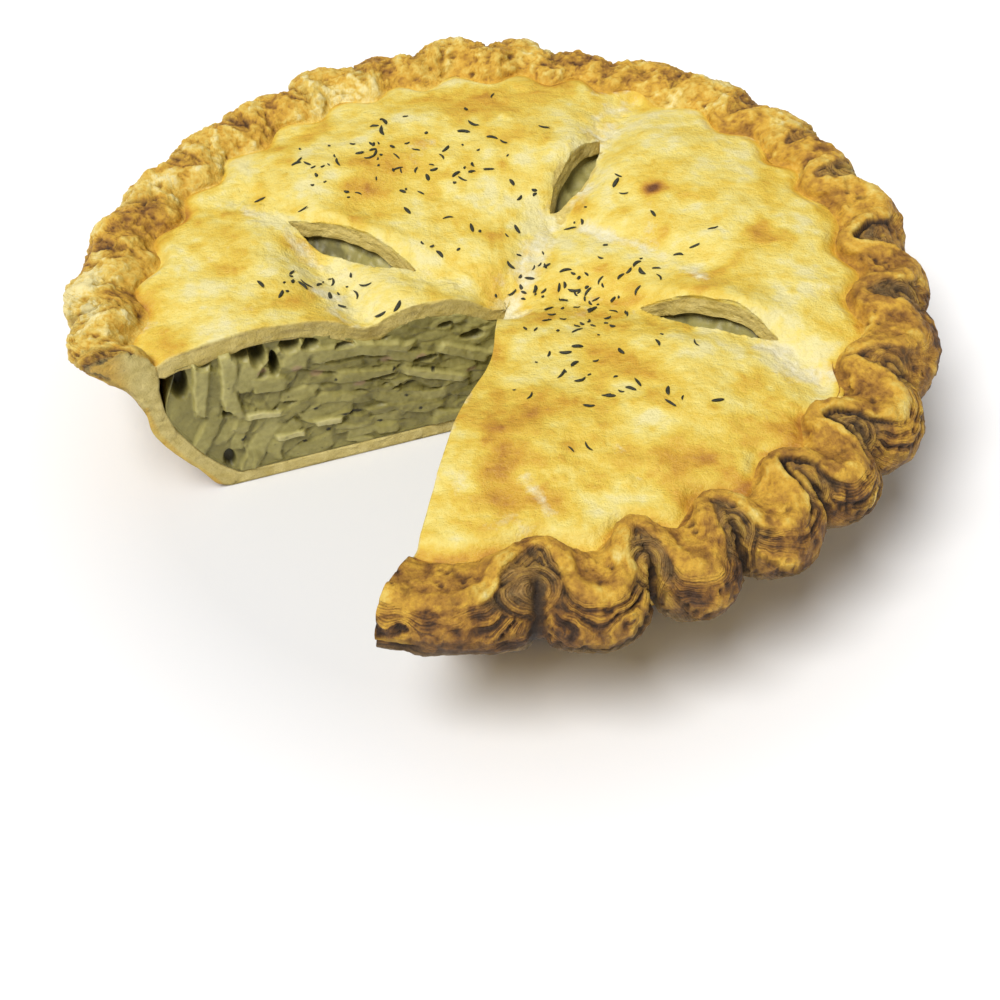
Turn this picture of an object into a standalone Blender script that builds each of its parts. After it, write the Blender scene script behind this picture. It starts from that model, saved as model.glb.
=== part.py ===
"""Potato shallot and herb pie, baked in a deep round case, with one slice of a sixth taken out.

The pie stands on the floor plane at z = 0 with its axis at the origin. The missing slice lies
between -X and -Y. Three solids make it: the pastry case with its roped rim, the filling, and
the lid with three steam slits and the thyme leaves that lie on it.
"""

import math
import random

import bmesh
import bpy
from mathutils import Matrix, Vector
from mathutils.geometry import delaunay_2d_cdt

MM = 0.001

# The slice that was taken out, in degrees round the axis and millimetres
CUT_RIGHT = -104.4
CUT_LEFT = 195.6
APEX = (3.0, -1.0)
CUT_BEND = 3.2
CUT_BEND_AT = 34.0
CUT_BEND_WIDTH = 16.0
CUT_BEND_REACH = 14.0
RIM_FLARE = 5.0
RIM_FLARE_START = 105.0
RIM_FLARE_WIDTH = 22.0
RIM_FLARE_REACH = 9.0

# Heights and radii of the case, in millimetres
BASE_RADIUS = 88.0
BASE_TOP = 4.6
WALL_OUTER = ((92.0, 2.0), (96.0, 9.0), (101.0, 16.5), (106.5, 28.0), (108.0, 37.0))
WALL_INNER = ((102.8, 45.0), (102.6, 37.0), (100.9, 28.5), (95.4, 17.0), (90.0, 9.5), (85.0, BASE_TOP))
SHELF_HEIGHT = 49.0
SEAM_HEIGHT = 55.5
GAP = 0.3

# The roped rim: each notch's angle and outer radius, and the outer radius of the lobe after it.
# The first lobe starts within the missing slice, so the right cut goes through its middle.
NOTCHES = (
    (-112.0, 127.0, 131.0), (-87.5, 127.0, 133.0), (-73.5, 120.0, 133.0), (-61.5, 120.5, 132.5),
    (-48.5, 124.0, 132.0), (-37.0, 125.0, 133.0), (-23.0, 126.0, 131.0), (-7.5, 125.0, 129.0), (4.5, 122.0, 129.0),
    (22.5, 123.0, 128.5), (32.0, 124.5, 129.0), (45.0, 125.5, 129.0), (58.0, 125.0, 129.0), (70.0, 124.0, 128.0),
    (80.0, 124.0, 129.0), (91.0, 126.0, 131.0), (103.0, 125.0, 129.5), (113.0, 125.0, 129.0), (124.0, 124.5, 129.0),
    (136.0, 125.5, 129.0), (148.0, 125.0, 129.0), (159.0, 125.5, 129.5), (171.0, 126.5, 129.5), (184.0, 124.0, 126.0),
    (CUT_LEFT, 121.5, 121.5),
)
INNER_RADIUS = 105.0
INNER_WAVE = 2.6
RIM_TOP = 60.0
POCKET_DEPTH = 5.0
RIBBON_SWING = 0.22
RIBBON_WIDTH = 0.30
OUTER_DROP = 7.0
ROPE_LEAN = 0.10
RIM_BUMPS = ((190.0, 2.6, 34.0), (92.0, 2.0, 7.0), (72.0, -3.0, 10.0))
RIM_UNDER = ((11.0, 40.0, 5.0), (4.0, 41.0, 12.0), (0.0, 47.0, 9.0))
UNDER_LIFT = 0.6
LEFT_CUT_REACH = 13.0
LOBE_ROUNDNESS = 0.6
RIM_ROWS = (0.95, 0.8, 0.6, 0.4, 0.2, 0.06)
LOBE_STEPS = (0.0, 0.1, 0.28, 0.5, 0.72, 0.9)
COARSE_STATIONS = 56

# The lid: a puffed dome with valleys along the lines of the slits
LID_THICKNESS = 5.0
LID_EDGE_LEVEL = 55.5
LID_PUFF = 4.5
LID_PUFF_RADIUS = 72.0
LID_PUFF_WIDTH = 26.0
LID_EDGE_RADIUS = 97
LID_TOP_RADII = (92, 86, 79, 72, 65, 58, 51, 44, 38, 32, 25, 18, 11, 5)
LID_UNDER_RADII = (12, 24, 36, 48, 58, 68, 78, 88)
CREASES = (
    (((3, -4), (11, 14), (21, 36), (30, 54), (41, 76), (51, 92)), 4.0, 9.0),
    (((3, -4), (22, -4), (43, -13), (60, -24), (78, -33), (90, -46)), 3.5, 9.0),
    (((3, -4), (-12, 4), (-23, 9), (-43, 19), (-63, 32), (-78, 42)), 2.5, 8.0),
    (((-38, -12), (-46, 3), (-55, 16)), 5.0, 8.0),
    (((21, 28), (33, 20), (46, 12), (62, 2)), 1.5, 6.0),
)

# Each steam slit: its middle, its direction in degrees, its length and its width
SLITS = (
    ((-43.0, 20.0), 152.0, 44.0, 9.0),
    ((27.0, 51.0), 61.0, 36.0, 8.0),
    ((61.0, -21.0), -27.0, 42.0, 9.0),
)
SLIT_LIP = 2.5
SLIT_STEPS = 8

# The filling, and its pieces that stand out of the two cut faces
FILLING_SIDE = ((84.6, BASE_TOP + GAP), (89.6, 9.8), (95.0, 17.2), (100.5, 28.6), (102.2, 37.0), (98.4, 47.6))
SLIT_PIT_DEPTH = 7.0
SLIT_PIT_WIDTH = 9.0
HOLLOWS = ((92.0, 9.0, 6.0), (80.0, 4.0, 5.0), (66.0, 7.0, 7.0), (53.0, 3.5, 4.0))
HOLLOW_REACH = 9.0
PIECE_OUT = 1.3
PIECE_IN = 1.6
PIECE_ROW_STEP = 6.6
PIECE_LENGTH = 15.0

# Thyme leaves: the patches they are strewn over, as middle, spread and number
LEAF_PATCHES = (((-8, 48), 26.0, 24), ((28, 4), 20.0, 18), ((-30, 12), 16.0, 8), ((40, -42), 30.0, 8))
LEAF_LENGTH = 5.5
LEAF_WIDTH = 1.5
LEAF_HEIGHT = 1.4
LEAF_SINK = 0.7
LEAF_SEED = 14


def clear_scene():
    for item in list(bpy.data.objects):
        bpy.data.objects.remove(item, do_unlink=True)


def blend(start, end, share):
    return start + (end - start) * share


def material(name, colour, roughness):
    made = bpy.data.materials.new(name)
    made.use_nodes = True
    shader = made.node_tree.nodes["Principled BSDF"]
    shader.inputs["Base Color"].default_value = (*colour, 1.0)
    shader.inputs["Roughness"].default_value = roughness
    shader.inputs["Metallic"].default_value = 0.0
    return made


def crimp_at(angle):
    """The lobe that an angle falls in, as its two notches and the share of the way between them."""
    for first, second in zip(NOTCHES, NOTCHES[1:]):
        if angle <= second[0]:
            return first, second, max(0.0, (angle - first[0]) / (second[0] - first[0]))
    return NOTCHES[-2], NOTCHES[-1], 1.0


def rim_lift(angle):
    """The rim baked uneven: each bump is its angle, its height and its reach in degrees."""
    return sum(rise * math.exp(-(((angle - middle) / reach) ** 2)) for middle, rise, reach in RIM_BUMPS)


def rim_droop(angle):
    """How far the outer edge hangs below the rim's top, which it does least at the left cut."""
    return OUTER_DROP * (1.0 - at_left_cut(angle))


def at_left_cut(angle):
    """1 at the left cut, where the rim thins to a flange, and 0 well away from it."""
    return math.exp(-(((angle - CUT_LEFT) / LEFT_CUT_REACH) ** 2))


def outer_radius(angle):
    first, second, share = crimp_at(angle)
    notch = blend(first[1], second[1], share)
    return notch + (first[2] - notch) * math.sin(math.pi * share) ** LOBE_ROUNDNESS


def inner_radius(angle):
    """The inner edge of the rim bulges inward where the outer edge has its notches."""
    share = crimp_at(angle)[2]
    return INNER_RADIUS - INNER_WAVE * math.cos(2.0 * math.pi * share)


def rim_point(angle, across):
    """A point of the rim's top, where across runs from 0 at the lid to 1 at the outer edge."""
    share = crimp_at(angle)[2] + ROPE_LEAN * (across - 0.5)
    ribbon = 0.5 - RIBBON_SWING * math.cos(2.0 * math.pi * share)
    away = (across - ribbon) / RIBBON_WIDTH
    height = RIM_TOP - POCKET_DEPTH * (1.0 - math.exp(-away * away))
    height -= rim_droop(angle) * max(0.0, (across - 0.5) / 0.5) ** 2
    radius = blend(inner_radius(angle), outer_radius(angle), across)
    return radius, height + rim_lift(angle)


def side_shift(angle, radius):
    """The right cut bends near the slice's tip, and the rim's end flares sideways past the cut."""
    behind = angle - CUT_RIGHT
    bend = CUT_BEND * math.exp(-(((radius - CUT_BEND_AT) / CUT_BEND_WIDTH) ** 2))
    flare = RIM_FLARE * min(1.0, max(0.0, (radius - RIM_FLARE_START) / RIM_FLARE_WIDTH))
    return bend * max(0.0, 1.0 - behind / CUT_BEND_REACH) - flare * max(0.0, 1.0 - behind / RIM_FLARE_REACH)


def plan_point(angle, radius):
    """The point of this radius from the pie's axis on the ray from the slice's tip."""
    turn = math.radians(angle)
    ray = (math.cos(turn), math.sin(turn))
    ahead = APEX[0] * ray[0] + APEX[1] * ray[1]
    reach = math.sqrt(ahead * ahead - APEX[0] ** 2 - APEX[1] ** 2 + radius * radius) - ahead
    side = side_shift(angle, radius)
    return APEX[0] + ray[0] * reach - ray[1] * side, APEX[1] + ray[1] * reach + ray[0] * side


def coarse_angles():
    span = CUT_LEFT - CUT_RIGHT
    return [CUT_RIGHT + span * i / COARSE_STATIONS for i in range(COARSE_STATIONS + 1)]


def fine_angles():
    found = []
    for first, second in zip(NOTCHES, NOTCHES[1:]):
        found += [blend(first[0], second[0], step) for step in LOBE_STEPS]
    return [CUT_RIGHT, *(angle for angle in found if angle > CUT_RIGHT), CUT_LEFT]


class Shell:
    """A closed skin made of rows of points, each row running from the right cut to the left cut."""

    def __init__(self):
        self.mesh = bmesh.new()
        self.rows = []

    def row(self, angles, place):
        """Adds a row of points, and the strip of faces between it and the row before."""
        points = []
        for angle in angles:
            x, y, z = place(angle)
            points.append((angle, self.mesh.verts.new((x * MM, y * MM, z * MM))))
        if self.rows:
            self.join(self.rows[-1], points)
        self.rows.append(points)

    def tip(self, height):
        """Adds the point at the slice's tip, as a row of one point."""
        self.row([CUT_RIGHT], lambda angle: (*APEX, height))

    def join(self, lower, upper):
        """Triangles between two rows in the order of their angles, split alike inward and outward."""
        outward = lower[0][1].co.xy.length <= upper[0][1].co.xy.length
        i = j = 0
        while i < len(lower) - 1 or j < len(upper) - 1:
            next_lower = lower[i + 1][0] if i < len(lower) - 1 else math.inf
            next_upper = upper[j + 1][0] if j < len(upper) - 1 else math.inf
            if next_lower < next_upper or (next_lower == next_upper and outward):
                self.mesh.faces.new((lower[i][1], lower[i + 1][1], upper[j][1]))
                i += 1
            else:
                self.mesh.faces.new((lower[i][1], upper[j + 1][1], upper[j][1]))
                j += 1

    def cap(self, points):
        """Fills a cut face, whose outline is points, with well shaped triangles."""
        tip = Vector(APEX) * MM
        spots = [Vector(((point.co.xy - tip).length, point.co.z)) for point in points]
        found = delaunay_2d_cdt(spots, [], [list(range(len(spots)))], 1, 1e-7)
        origins = found[3]
        for face in found[2]:
            self.mesh.faces.new([points[origins[corner][0]] for corner in face])

    def finish(self, name, finish):
        """Closes both cut faces and returns the object."""
        self.cap([row[0][1] for row in self.rows])
        self.cap([row[-1][1] for row in self.rows])
        bmesh.ops.recalc_face_normals(self.mesh, faces=self.mesh.faces)
        data = bpy.data.meshes.new(name)
        self.mesh.to_mesh(data)
        self.mesh.free()
        return add_object(name, data, finish)


def add_object(name, data, finish, collection=None):
    made = bpy.data.objects.new(name, data)
    if finish:
        data.materials.append(finish)
    (collection or bpy.context.scene.collection).objects.link(made)
    return made


def ring(radius, height):
    """A row's rule for a plain circle round the pie's axis."""
    return lambda angle: (*plan_point(angle, radius), height)


def rim_row(across):
    def place(angle):
        radius, height = rim_point(angle, across)
        return (*plan_point(angle, radius), height)

    return place


def outer_row(inward, height, raised):
    def place(angle):
        level = height + rim_lift(angle) * UNDER_LIFT + raised * at_left_cut(angle)
        return (*plan_point(angle, outer_radius(angle) - inward), level)

    return place


def seam_row(inward, height):
    return lambda angle: (*plan_point(angle, inner_radius(angle) - inward), height)


def build_case(finish):
    coarse, fine = coarse_angles(), fine_angles()
    shell = Shell()
    shell.tip(0.0)
    for radius in (45.0, BASE_RADIUS):
        shell.row(coarse, ring(radius, 0.0))
    for radius, height in WALL_OUTER:
        shell.row(coarse, ring(radius, height))
    for inward, height, raised in RIM_UNDER:
        shell.row(fine, outer_row(inward, height, raised))
    for across in RIM_ROWS:
        shell.row(fine, rim_row(across))
    shell.row(fine, seam_row(0.0, SEAM_HEIGHT))
    shell.row(fine, seam_row(0.0, SHELF_HEIGHT))
    for radius, height in WALL_INNER:
        shell.row(coarse, ring(radius, height))
    shell.row(coarse, ring(45.0, BASE_TOP))
    shell.tip(BASE_TOP)
    return shell.finish("pastry_case", finish)


def distance_to_path(x, y, path):
    best = math.inf
    here = Vector((x, y))
    for start, end in zip(path, path[1:]):
        a, b = Vector(start), Vector(end)
        run = b - a
        share = min(1.0, max(0.0, (here - a).dot(run) / run.length_squared))
        best = min(best, (here - a - run * share).length)
    return best


def slit_frame(x, y, slit):
    """A point's place along and across a slit, where across is positive on the far side."""
    middle, direction, length, _ = slit
    turn = math.radians(direction)
    dx, dy = x - middle[0], y - middle[1]
    along = dx * math.cos(turn) + dy * math.sin(turn)
    across = dy * math.cos(turn) - dx * math.sin(turn)
    if math.cos(turn) < 0.0:
        across = -across
    return along / (length / 2.0), across


def lid_height(x, y):
    """The lid's top: a puffed ring, valleys, and the far lip of each slit standing up."""
    radius = math.hypot(x, y)
    away = (radius - LID_PUFF_RADIUS) / LID_PUFF_WIDTH
    height = LID_EDGE_LEVEL + LID_PUFF * math.exp(-away * away)
    for path, depth, width in CREASES:
        gone = distance_to_path(x, y, path) / width
        height -= depth * math.exp(-gone * gone)
    for slit in SLITS:
        along, across = slit_frame(x, y, slit)
        lift = math.exp(-(along**4)) * math.exp(-(((across - 6.0) / 5.0) ** 2))
        height += SLIT_LIP * lift
    return height


def lid_underside(x, y):
    return lid_height(x, y) - LID_THICKNESS


def lid_row(radius, rule):
    def place(angle):
        x, y = plan_point(angle, radius)
        return x, y, rule(x, y)

    return place


def build_lid(finish):
    coarse, fine = coarse_angles(), fine_angles()
    shell = Shell()
    shell.tip(lid_underside(*APEX))
    for radius in LID_UNDER_RADII:
        shell.row(coarse, lid_row(radius, lid_underside))
    shell.row(fine, lid_row(LID_EDGE_RADIUS, lid_underside))
    shell.row(fine, seam_row(GAP, SHELF_HEIGHT + GAP))
    shell.row(fine, seam_row(GAP, SEAM_HEIGHT - GAP))
    shell.row(fine, lid_row(LID_EDGE_RADIUS, lid_height))
    for radius in LID_TOP_RADII:
        shell.row(coarse, lid_row(radius, lid_height))
    shell.tip(lid_height(*APEX))
    lid = shell.finish("pastry_lid", finish)
    for slit in SLITS:
        cut_slit(lid, slit)
    fuse(lid, lambda group: thyme_leaves(group, lid))
    return lid


def prism(outline, low, high):
    """A mesh of an outline in plan, drawn up from one height to another."""
    made = bmesh.new()
    base = [made.verts.new((x * MM, y * MM, low * MM)) for x, y in outline]
    face = made.faces.new(base)
    grown = bmesh.ops.extrude_face_region(made, geom=[face])
    top = [item for item in grown["geom"] if isinstance(item, bmesh.types.BMVert)]
    bmesh.ops.translate(made, verts=top, vec=(0.0, 0.0, (high - low) * MM))
    bmesh.ops.recalc_face_normals(made, faces=made.faces)
    data = bpy.data.meshes.new("prism")
    made.to_mesh(data)
    made.free()
    return data


def lens_outline(middle, direction, length, width):
    turn = math.radians(direction)
    points = []
    for i in range(2 * SLIT_STEPS):
        angle = math.pi * i / SLIT_STEPS
        along = math.cos(angle) * length / 2.0
        across = math.sin(angle) * abs(math.sin(angle)) ** 0.5 * width / 2.0
        points.append((
            middle[0] + along * math.cos(turn) - across * math.sin(turn),
            middle[1] + along * math.sin(turn) + across * math.cos(turn),
        ))
    return points


def cut_slit(lid, slit):
    cutter = add_object("slit_cutter", prism(lens_outline(*slit), 30.0, 80.0), None)
    change = lid.modifiers.new("slit", "BOOLEAN")
    change.operation = "DIFFERENCE"
    change.object = cutter
    apply_all(lid)
    bpy.data.objects.remove(cutter, do_unlink=True)


def apply_all(item):
    """Makes the shape that the modifiers give the object's own mesh."""
    bpy.context.view_layer.update()
    graph = bpy.context.evaluated_depsgraph_get()
    made = bpy.data.meshes.new_from_object(item.evaluated_get(graph))
    item.modifiers.clear()
    item.data = made


def fuse(item, fill):
    """Joins the pieces that fill() adds to a collection with the object, by one union."""
    group = bpy.data.collections.new("pieces")
    bpy.context.scene.collection.children.link(group)
    fill(group)
    change = item.modifiers.new("union", "BOOLEAN")
    change.operation = "UNION"
    change.operand_type = "COLLECTION"
    change.collection = group
    apply_all(item)
    for piece in list(group.objects):
        bpy.data.objects.remove(piece, do_unlink=True)
    bpy.data.collections.remove(group)


def on_lid(x, y):
    """Whether a leaf can lie here: on the lid, off the slits, the rim and the missing slice."""
    angle = math.degrees(math.atan2(y - APEX[1], x - APEX[0]))
    if CUT_LEFT - 360.0 - 4.0 < angle < CUT_RIGHT + 6.0:
        return False
    if math.hypot(x, y) > INNER_RADIUS - INNER_WAVE - 7.0 or math.hypot(x, y) < 12.0:
        return False
    for slit in SLITS:
        along, across = slit_frame(x, y, slit)
        if abs(along) < 1.25 and abs(across) < slit[3] / 2.0 + LEAF_LENGTH / 2.0:
            return False
    return True


def leaf_mesh(length):
    """A leaf as a long block with pointed ends, ten corners in all."""
    made = bmesh.new()
    half, wide = length / 2.0, LEAF_WIDTH / 2.0
    outline = ((half, 0.0), (half * 0.3, wide), (-half * 0.5, wide), (-half, 0.0), (-half * 0.2, -wide))
    low = [made.verts.new((x * MM, y * MM, 0.0)) for x, y in outline]
    top = [made.verts.new((x * 0.9 * MM, y * 0.7 * MM, LEAF_HEIGHT * MM)) for x, y in outline]
    made.faces.new(low[::-1])
    made.faces.new(top)
    for i in range(len(outline)):
        j = (i + 1) % len(outline)
        made.faces.new((low[i], low[j], top[j], top[i]))
    bmesh.ops.recalc_face_normals(made, faces=made.faces)
    data = bpy.data.meshes.new("leaf")
    made.to_mesh(data)
    made.free()
    return data


def lie_on(lid, x, y, heading):
    """The place that lays a piece on the lid at this point, turned by heading."""
    _, spot, up, _ = lid.ray_cast(Vector((x, y, 100.0)) * MM, Vector((0.0, 0.0, -1.0)))
    ahead = Vector((math.cos(heading), math.sin(heading), 0.0))
    ahead = (ahead - up * ahead.dot(up)).normalized()
    turned = Matrix((ahead, up.cross(ahead), up)).transposed().to_4x4()
    return Matrix.Translation(spot - up * LEAF_SINK * MM) @ turned


def thyme_leaves(group, lid):
    """Strews the leaves in patches, each clear of the ones already laid."""
    draw = random.Random(LEAF_SEED)
    laid = []
    for middle, spread, count in LEAF_PATCHES:
        placed = 0
        while placed < count:
            x = draw.gauss(middle[0], spread * 0.5)
            y = draw.gauss(middle[1], spread * 0.5)
            heading = draw.uniform(0.0, math.pi)
            near = any(math.hypot(x - a, y - b) < LEAF_LENGTH + 1.0 for a, b in laid)
            if near or not on_lid(x, y):
                continue
            leaf = add_object("leaf", leaf_mesh(LEAF_LENGTH * draw.uniform(0.7, 1.15)), None, group)
            leaf.matrix_world = lie_on(lid, x, y, heading)
            laid.append((x, y))
            placed += 1


def filling_height(x, y):
    """The filling's top follows the lid, with pits below the slits and hollows at the cut."""
    height = lid_underside(x, y) - GAP
    for slit in SLITS:
        along, across = slit_frame(x, y, slit)
        pit = math.exp(-(along**4)) * math.exp(-((across / SLIT_PIT_WIDTH) ** 2))
        height -= SLIT_PIT_DEPTH * pit
    turn = math.radians(CUT_LEFT)
    behind = abs((x - APEX[0]) * math.sin(turn) - (y - APEX[1]) * math.cos(turn))
    radius = math.hypot(x, y)
    if x < 0.0:
        for middle, depth, width in HOLLOWS:
            away = (radius - middle) / width
            height -= depth * math.exp(-away * away) * math.exp(-((behind / HOLLOW_REACH) ** 2))
    return height


def build_filling(finish):
    coarse, fine = coarse_angles(), fine_angles()
    shell = Shell()
    shell.tip(BASE_TOP + GAP)
    shell.row(coarse, ring(45.0, BASE_TOP + GAP))
    for radius, height in FILLING_SIDE:
        shell.row(coarse, ring(radius, height))
    shell.row(fine, lid_row(LID_EDGE_RADIUS, filling_height))
    for radius in reversed(LID_UNDER_RADII):
        shell.row(coarse, lid_row(radius, filling_height))
    shell.tip(filling_height(*APEX))
    filling = shell.finish("filling", finish)
    fuse(filling, cut_pieces)
    return filling


def cut_piece(group, cut_angle, outward, along, height, tilt, length, thick, stand):
    """A slice of potato or shallot seen end on: a tapered block that stands out of a cut face."""
    made = bmesh.new()
    corners = ((-0.5, -0.5), (0.5, -0.42), (0.5, 0.42), (-0.5, 0.5))
    turn = math.radians(cut_angle)
    ray = Vector((math.cos(turn), math.sin(turn), 0.0))
    out = Vector((-math.sin(turn), math.cos(turn), 0.0)) * outward
    middle = Vector((*plan_point(cut_angle, along), height))
    lean = math.radians(tilt)
    ahead = ray * math.cos(lean) + Vector((0.0, 0.0, math.sin(lean)))
    side = Vector((0.0, 0.0, math.cos(lean))) - ray * math.sin(lean)
    rings = []
    for depth, size in ((-PIECE_IN, 1.0), (stand, 0.84)):
        spots = [middle + ahead * a * length * size + side * b * thick * size + out * depth for a, b in corners]
        rings.append([made.verts.new(spot * MM) for spot in spots])
    made.faces.new(rings[0])
    made.faces.new(rings[1][::-1])
    for i in range(len(corners)):
        j = (i + 1) % len(corners)
        made.faces.new((rings[0][i], rings[1][i], rings[1][j], rings[0][j]))
    bmesh.ops.recalc_face_normals(made, faces=made.faces)
    data = bpy.data.meshes.new("piece")
    made.to_mesh(data)
    made.free()
    add_object("piece", data, None, group)


def cut_pieces(group):
    """Rows of slices up each cut face: flat near the middle, steep batons near the wall."""
    draw = random.Random(5)
    for cut_angle, outward in ((CUT_LEFT, 1.0), (CUT_RIGHT, -1.0)):
        low = BASE_TOP + 5.0
        rows = 5
        for row in range(rows):
            height = low + row * PIECE_ROW_STEP
            wide = 92.0 if row > 1 else 82.0
            along = 12.0 + (row % 2) * PIECE_LENGTH * 0.5
            while along < wide - PIECE_LENGTH * 0.5:
                steep = min(1.0, max(0.0, (along - 52.0) / 18.0))
                tilt = blend(draw.uniform(-12.0, 12.0), draw.uniform(55.0, 75.0), steep)
                length = PIECE_LENGTH * draw.uniform(0.62, 0.86)
                if steep > 0.5:
                    length *= 0.8
                thick = draw.uniform(3.2, 4.6)
                stand = PIECE_OUT * draw.uniform(0.6, 1.0)
                cut_piece(group, cut_angle, outward, along, height, tilt, length, thick, stand)
                along += PIECE_LENGTH * draw.uniform(0.95, 1.15)


def main():
    clear_scene()
    crust = material("golden_crust", (0.60, 0.36, 0.13), 0.62)
    glazed = material("glazed_lid", (0.86, 0.62, 0.20), 0.50)
    creamy = material("potato_filling", (0.60, 0.56, 0.33), 0.55)
    for made in (build_case(crust), build_lid(glazed), build_filling(creamy)):
        made.data.shade_smooth()
        made.data.set_sharp_from_angle(angle=math.radians(50.0))


main()
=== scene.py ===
import math

import bmesh
import bpy
import numpy as np
from mathutils import Matrix, Vector
from mathutils.geometry import delaunay_2d_cdt
from mathutils.kdtree import KDTree


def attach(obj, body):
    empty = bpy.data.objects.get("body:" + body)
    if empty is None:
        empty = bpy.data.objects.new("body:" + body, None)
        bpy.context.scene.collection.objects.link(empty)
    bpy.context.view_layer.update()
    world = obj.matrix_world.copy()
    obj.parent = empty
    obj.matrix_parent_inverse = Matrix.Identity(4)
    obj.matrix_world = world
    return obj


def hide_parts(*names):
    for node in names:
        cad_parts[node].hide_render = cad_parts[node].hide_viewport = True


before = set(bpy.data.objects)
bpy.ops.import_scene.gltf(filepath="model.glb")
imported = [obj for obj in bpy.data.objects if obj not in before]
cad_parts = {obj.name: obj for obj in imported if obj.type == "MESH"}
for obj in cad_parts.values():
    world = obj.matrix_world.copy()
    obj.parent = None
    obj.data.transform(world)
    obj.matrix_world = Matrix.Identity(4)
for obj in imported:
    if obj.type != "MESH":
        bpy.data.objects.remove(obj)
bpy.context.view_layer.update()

MM = 0.001

# The slice that was taken out, in degrees round the axis and millimetres
CUT_RIGHT = -104.4
CUT_LEFT = 195.6
APEX = np.array((3.0, -1.0))
CUT_BEND = 3.2
CUT_BEND_AT = 34.0
CUT_BEND_WIDTH = 16.0
CUT_BEND_REACH = 14.0
RIM_FLARE = 5.0
RIM_FLARE_START = 105.0
RIM_FLARE_WIDTH = 22.0
RIM_FLARE_REACH = 9.0
LEFT_CUT_REACH = 13.0

# Heights and radii of the case
BASE_RADIUS = 88.0
BASE_TOP = 4.6
WALL_OUTER = ((92.0, 2.0), (96.0, 9.0), (101.0, 16.5), (106.5, 28.0), (108.0, 37.0))
WALL_INNER = ((102.8, 45.0), (102.6, 37.0), (100.9, 28.5), (95.4, 17.0), (90.0, 9.5), (85.0, BASE_TOP))
SHELF_HEIGHT = 49.0
SEAM_HEIGHT = 55.5
GAP = 0.3

# The roped rim
NOTCHES = (
    (-112.0, 127.0, 131.0), (-87.5, 127.0, 133.0), (-73.5, 120.0, 133.0), (-61.5, 120.5, 132.5),
    (-48.5, 124.0, 132.0), (-37.0, 125.0, 133.0), (-23.0, 126.0, 131.0), (-7.5, 125.0, 129.0),
    (4.5, 122.0, 129.0), (22.5, 123.0, 128.5), (32.0, 124.5, 129.0), (45.0, 125.5, 129.0), (58.0, 125.0, 129.0),
    (70.0, 124.0, 128.0), (80.0, 124.0, 129.0), (91.0, 126.0, 131.0), (103.0, 125.0, 129.5),
    (113.0, 125.0, 129.0), (124.0, 124.5, 129.0), (136.0, 125.5, 129.0), (148.0, 125.0, 129.0),
    (159.0, 125.5, 129.5), (171.0, 126.5, 129.5), (184.0, 124.0, 126.0), (CUT_LEFT, 121.5, 121.5),
)
NOTCH_ANGLES = np.array([n[0] for n in NOTCHES], float)
NOTCH_RADII = np.array([n[1] for n in NOTCHES], float)
LOBE_RADII = np.array([n[2] for n in NOTCHES], float)
INNER_RADIUS = 105.0
INNER_WAVE = 2.6
OUTER_DROP = 7.0
RIM_BUMPS = ((190.0, 2.6, 34.0), (92.0, 2.0, 7.0), (72.0, -3.0, 10.0))
RIM_UNDER = ((11.0, 40.0, 5.0), (4.0, 41.0, 12.0), (0.0, 47.0, 9.0))
UNDER_LIFT = 0.6
LOBE_ROUNDNESS = 0.6
INNER_RISE = 6.6
OUTER_RISE = 4.8
RIM_FLOOR = 54.4
RIM_STATIONS = 1201
RIM_TOP_ROWS = 46
WALL_STATIONS = 321
ROPE_STATIONS = 3001

# The lid
LID_THICKNESS = 5.0
LID_EDGE_LEVEL = 55.5
LID_PUFF = 4.5
LID_PUFF_RADIUS = 72.0
LID_PUFF_WIDTH = 26.0
CREASES = (
    (((3, -4), (11, 14), (21, 36), (30, 54), (41, 76), (51, 92)), 4.0, 9.0),
    (((3, -4), (22, -4), (43, -13), (60, -24), (78, -33), (90, -46)), 3.5, 9.0),
    (((3, -4), (-12, 4), (-23, 9), (-43, 19), (-63, 32), (-78, 42)), 2.5, 8.0),
    (((-38, -12), (-46, 3), (-55, 16)), 5.0, 8.0),
    (((21, 28), (33, 20), (46, 12), (62, 2)), 1.5, 6.0),
)
SLITS = (
    ((-43.0, 20.0), 152.0, 44.0, 9.0),
    ((27.0, 51.0), 61.0, 36.0, 8.0),
    ((61.0, -21.0), -27.0, 42.0, 9.0),
)
SLIT_LIP = 2.5
LID_STATIONS = 801

# The filling
FILLING_SIDE = ((84.6, BASE_TOP + GAP), (89.6, 9.8), (95.0, 17.2), (100.5, 28.6), (102.2, 37.0), (98.4, 47.6))
SLIT_PIT_DEPTH = 7.0
SLIT_PIT_WIDTH = 9.0
FILLING_STATIONS = 421
LEFT_FACE_SEED = 171
RIGHT_FACE_SEED = 173


# Small helpers for arrays

def smooth(x, low, high):
    t = np.clip((x - low) / (high - low), 0.0, 1.0)
    return t * t * (3.0 - 2.0 * t)


def hill(x, middle, width):
    return np.exp(-(((x - middle) / width) ** 2))


def mix(a, b, t):
    return a + (b - a) * t


def hashed(ix, iy, iz, seed):
    h = (ix * 374761393 + iy * 668265263 + iz * 1440662683 + seed * 1274126177) & 0xFFFFFFFF
    h = ((h ^ (h >> 13)) * 1274126177) & 0xFFFFFFFF
    h = ((h ^ (h >> 16)) * 461845907) & 0xFFFFFFFF
    h = h ^ (h >> 15)
    return h / 4294967295.0


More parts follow.
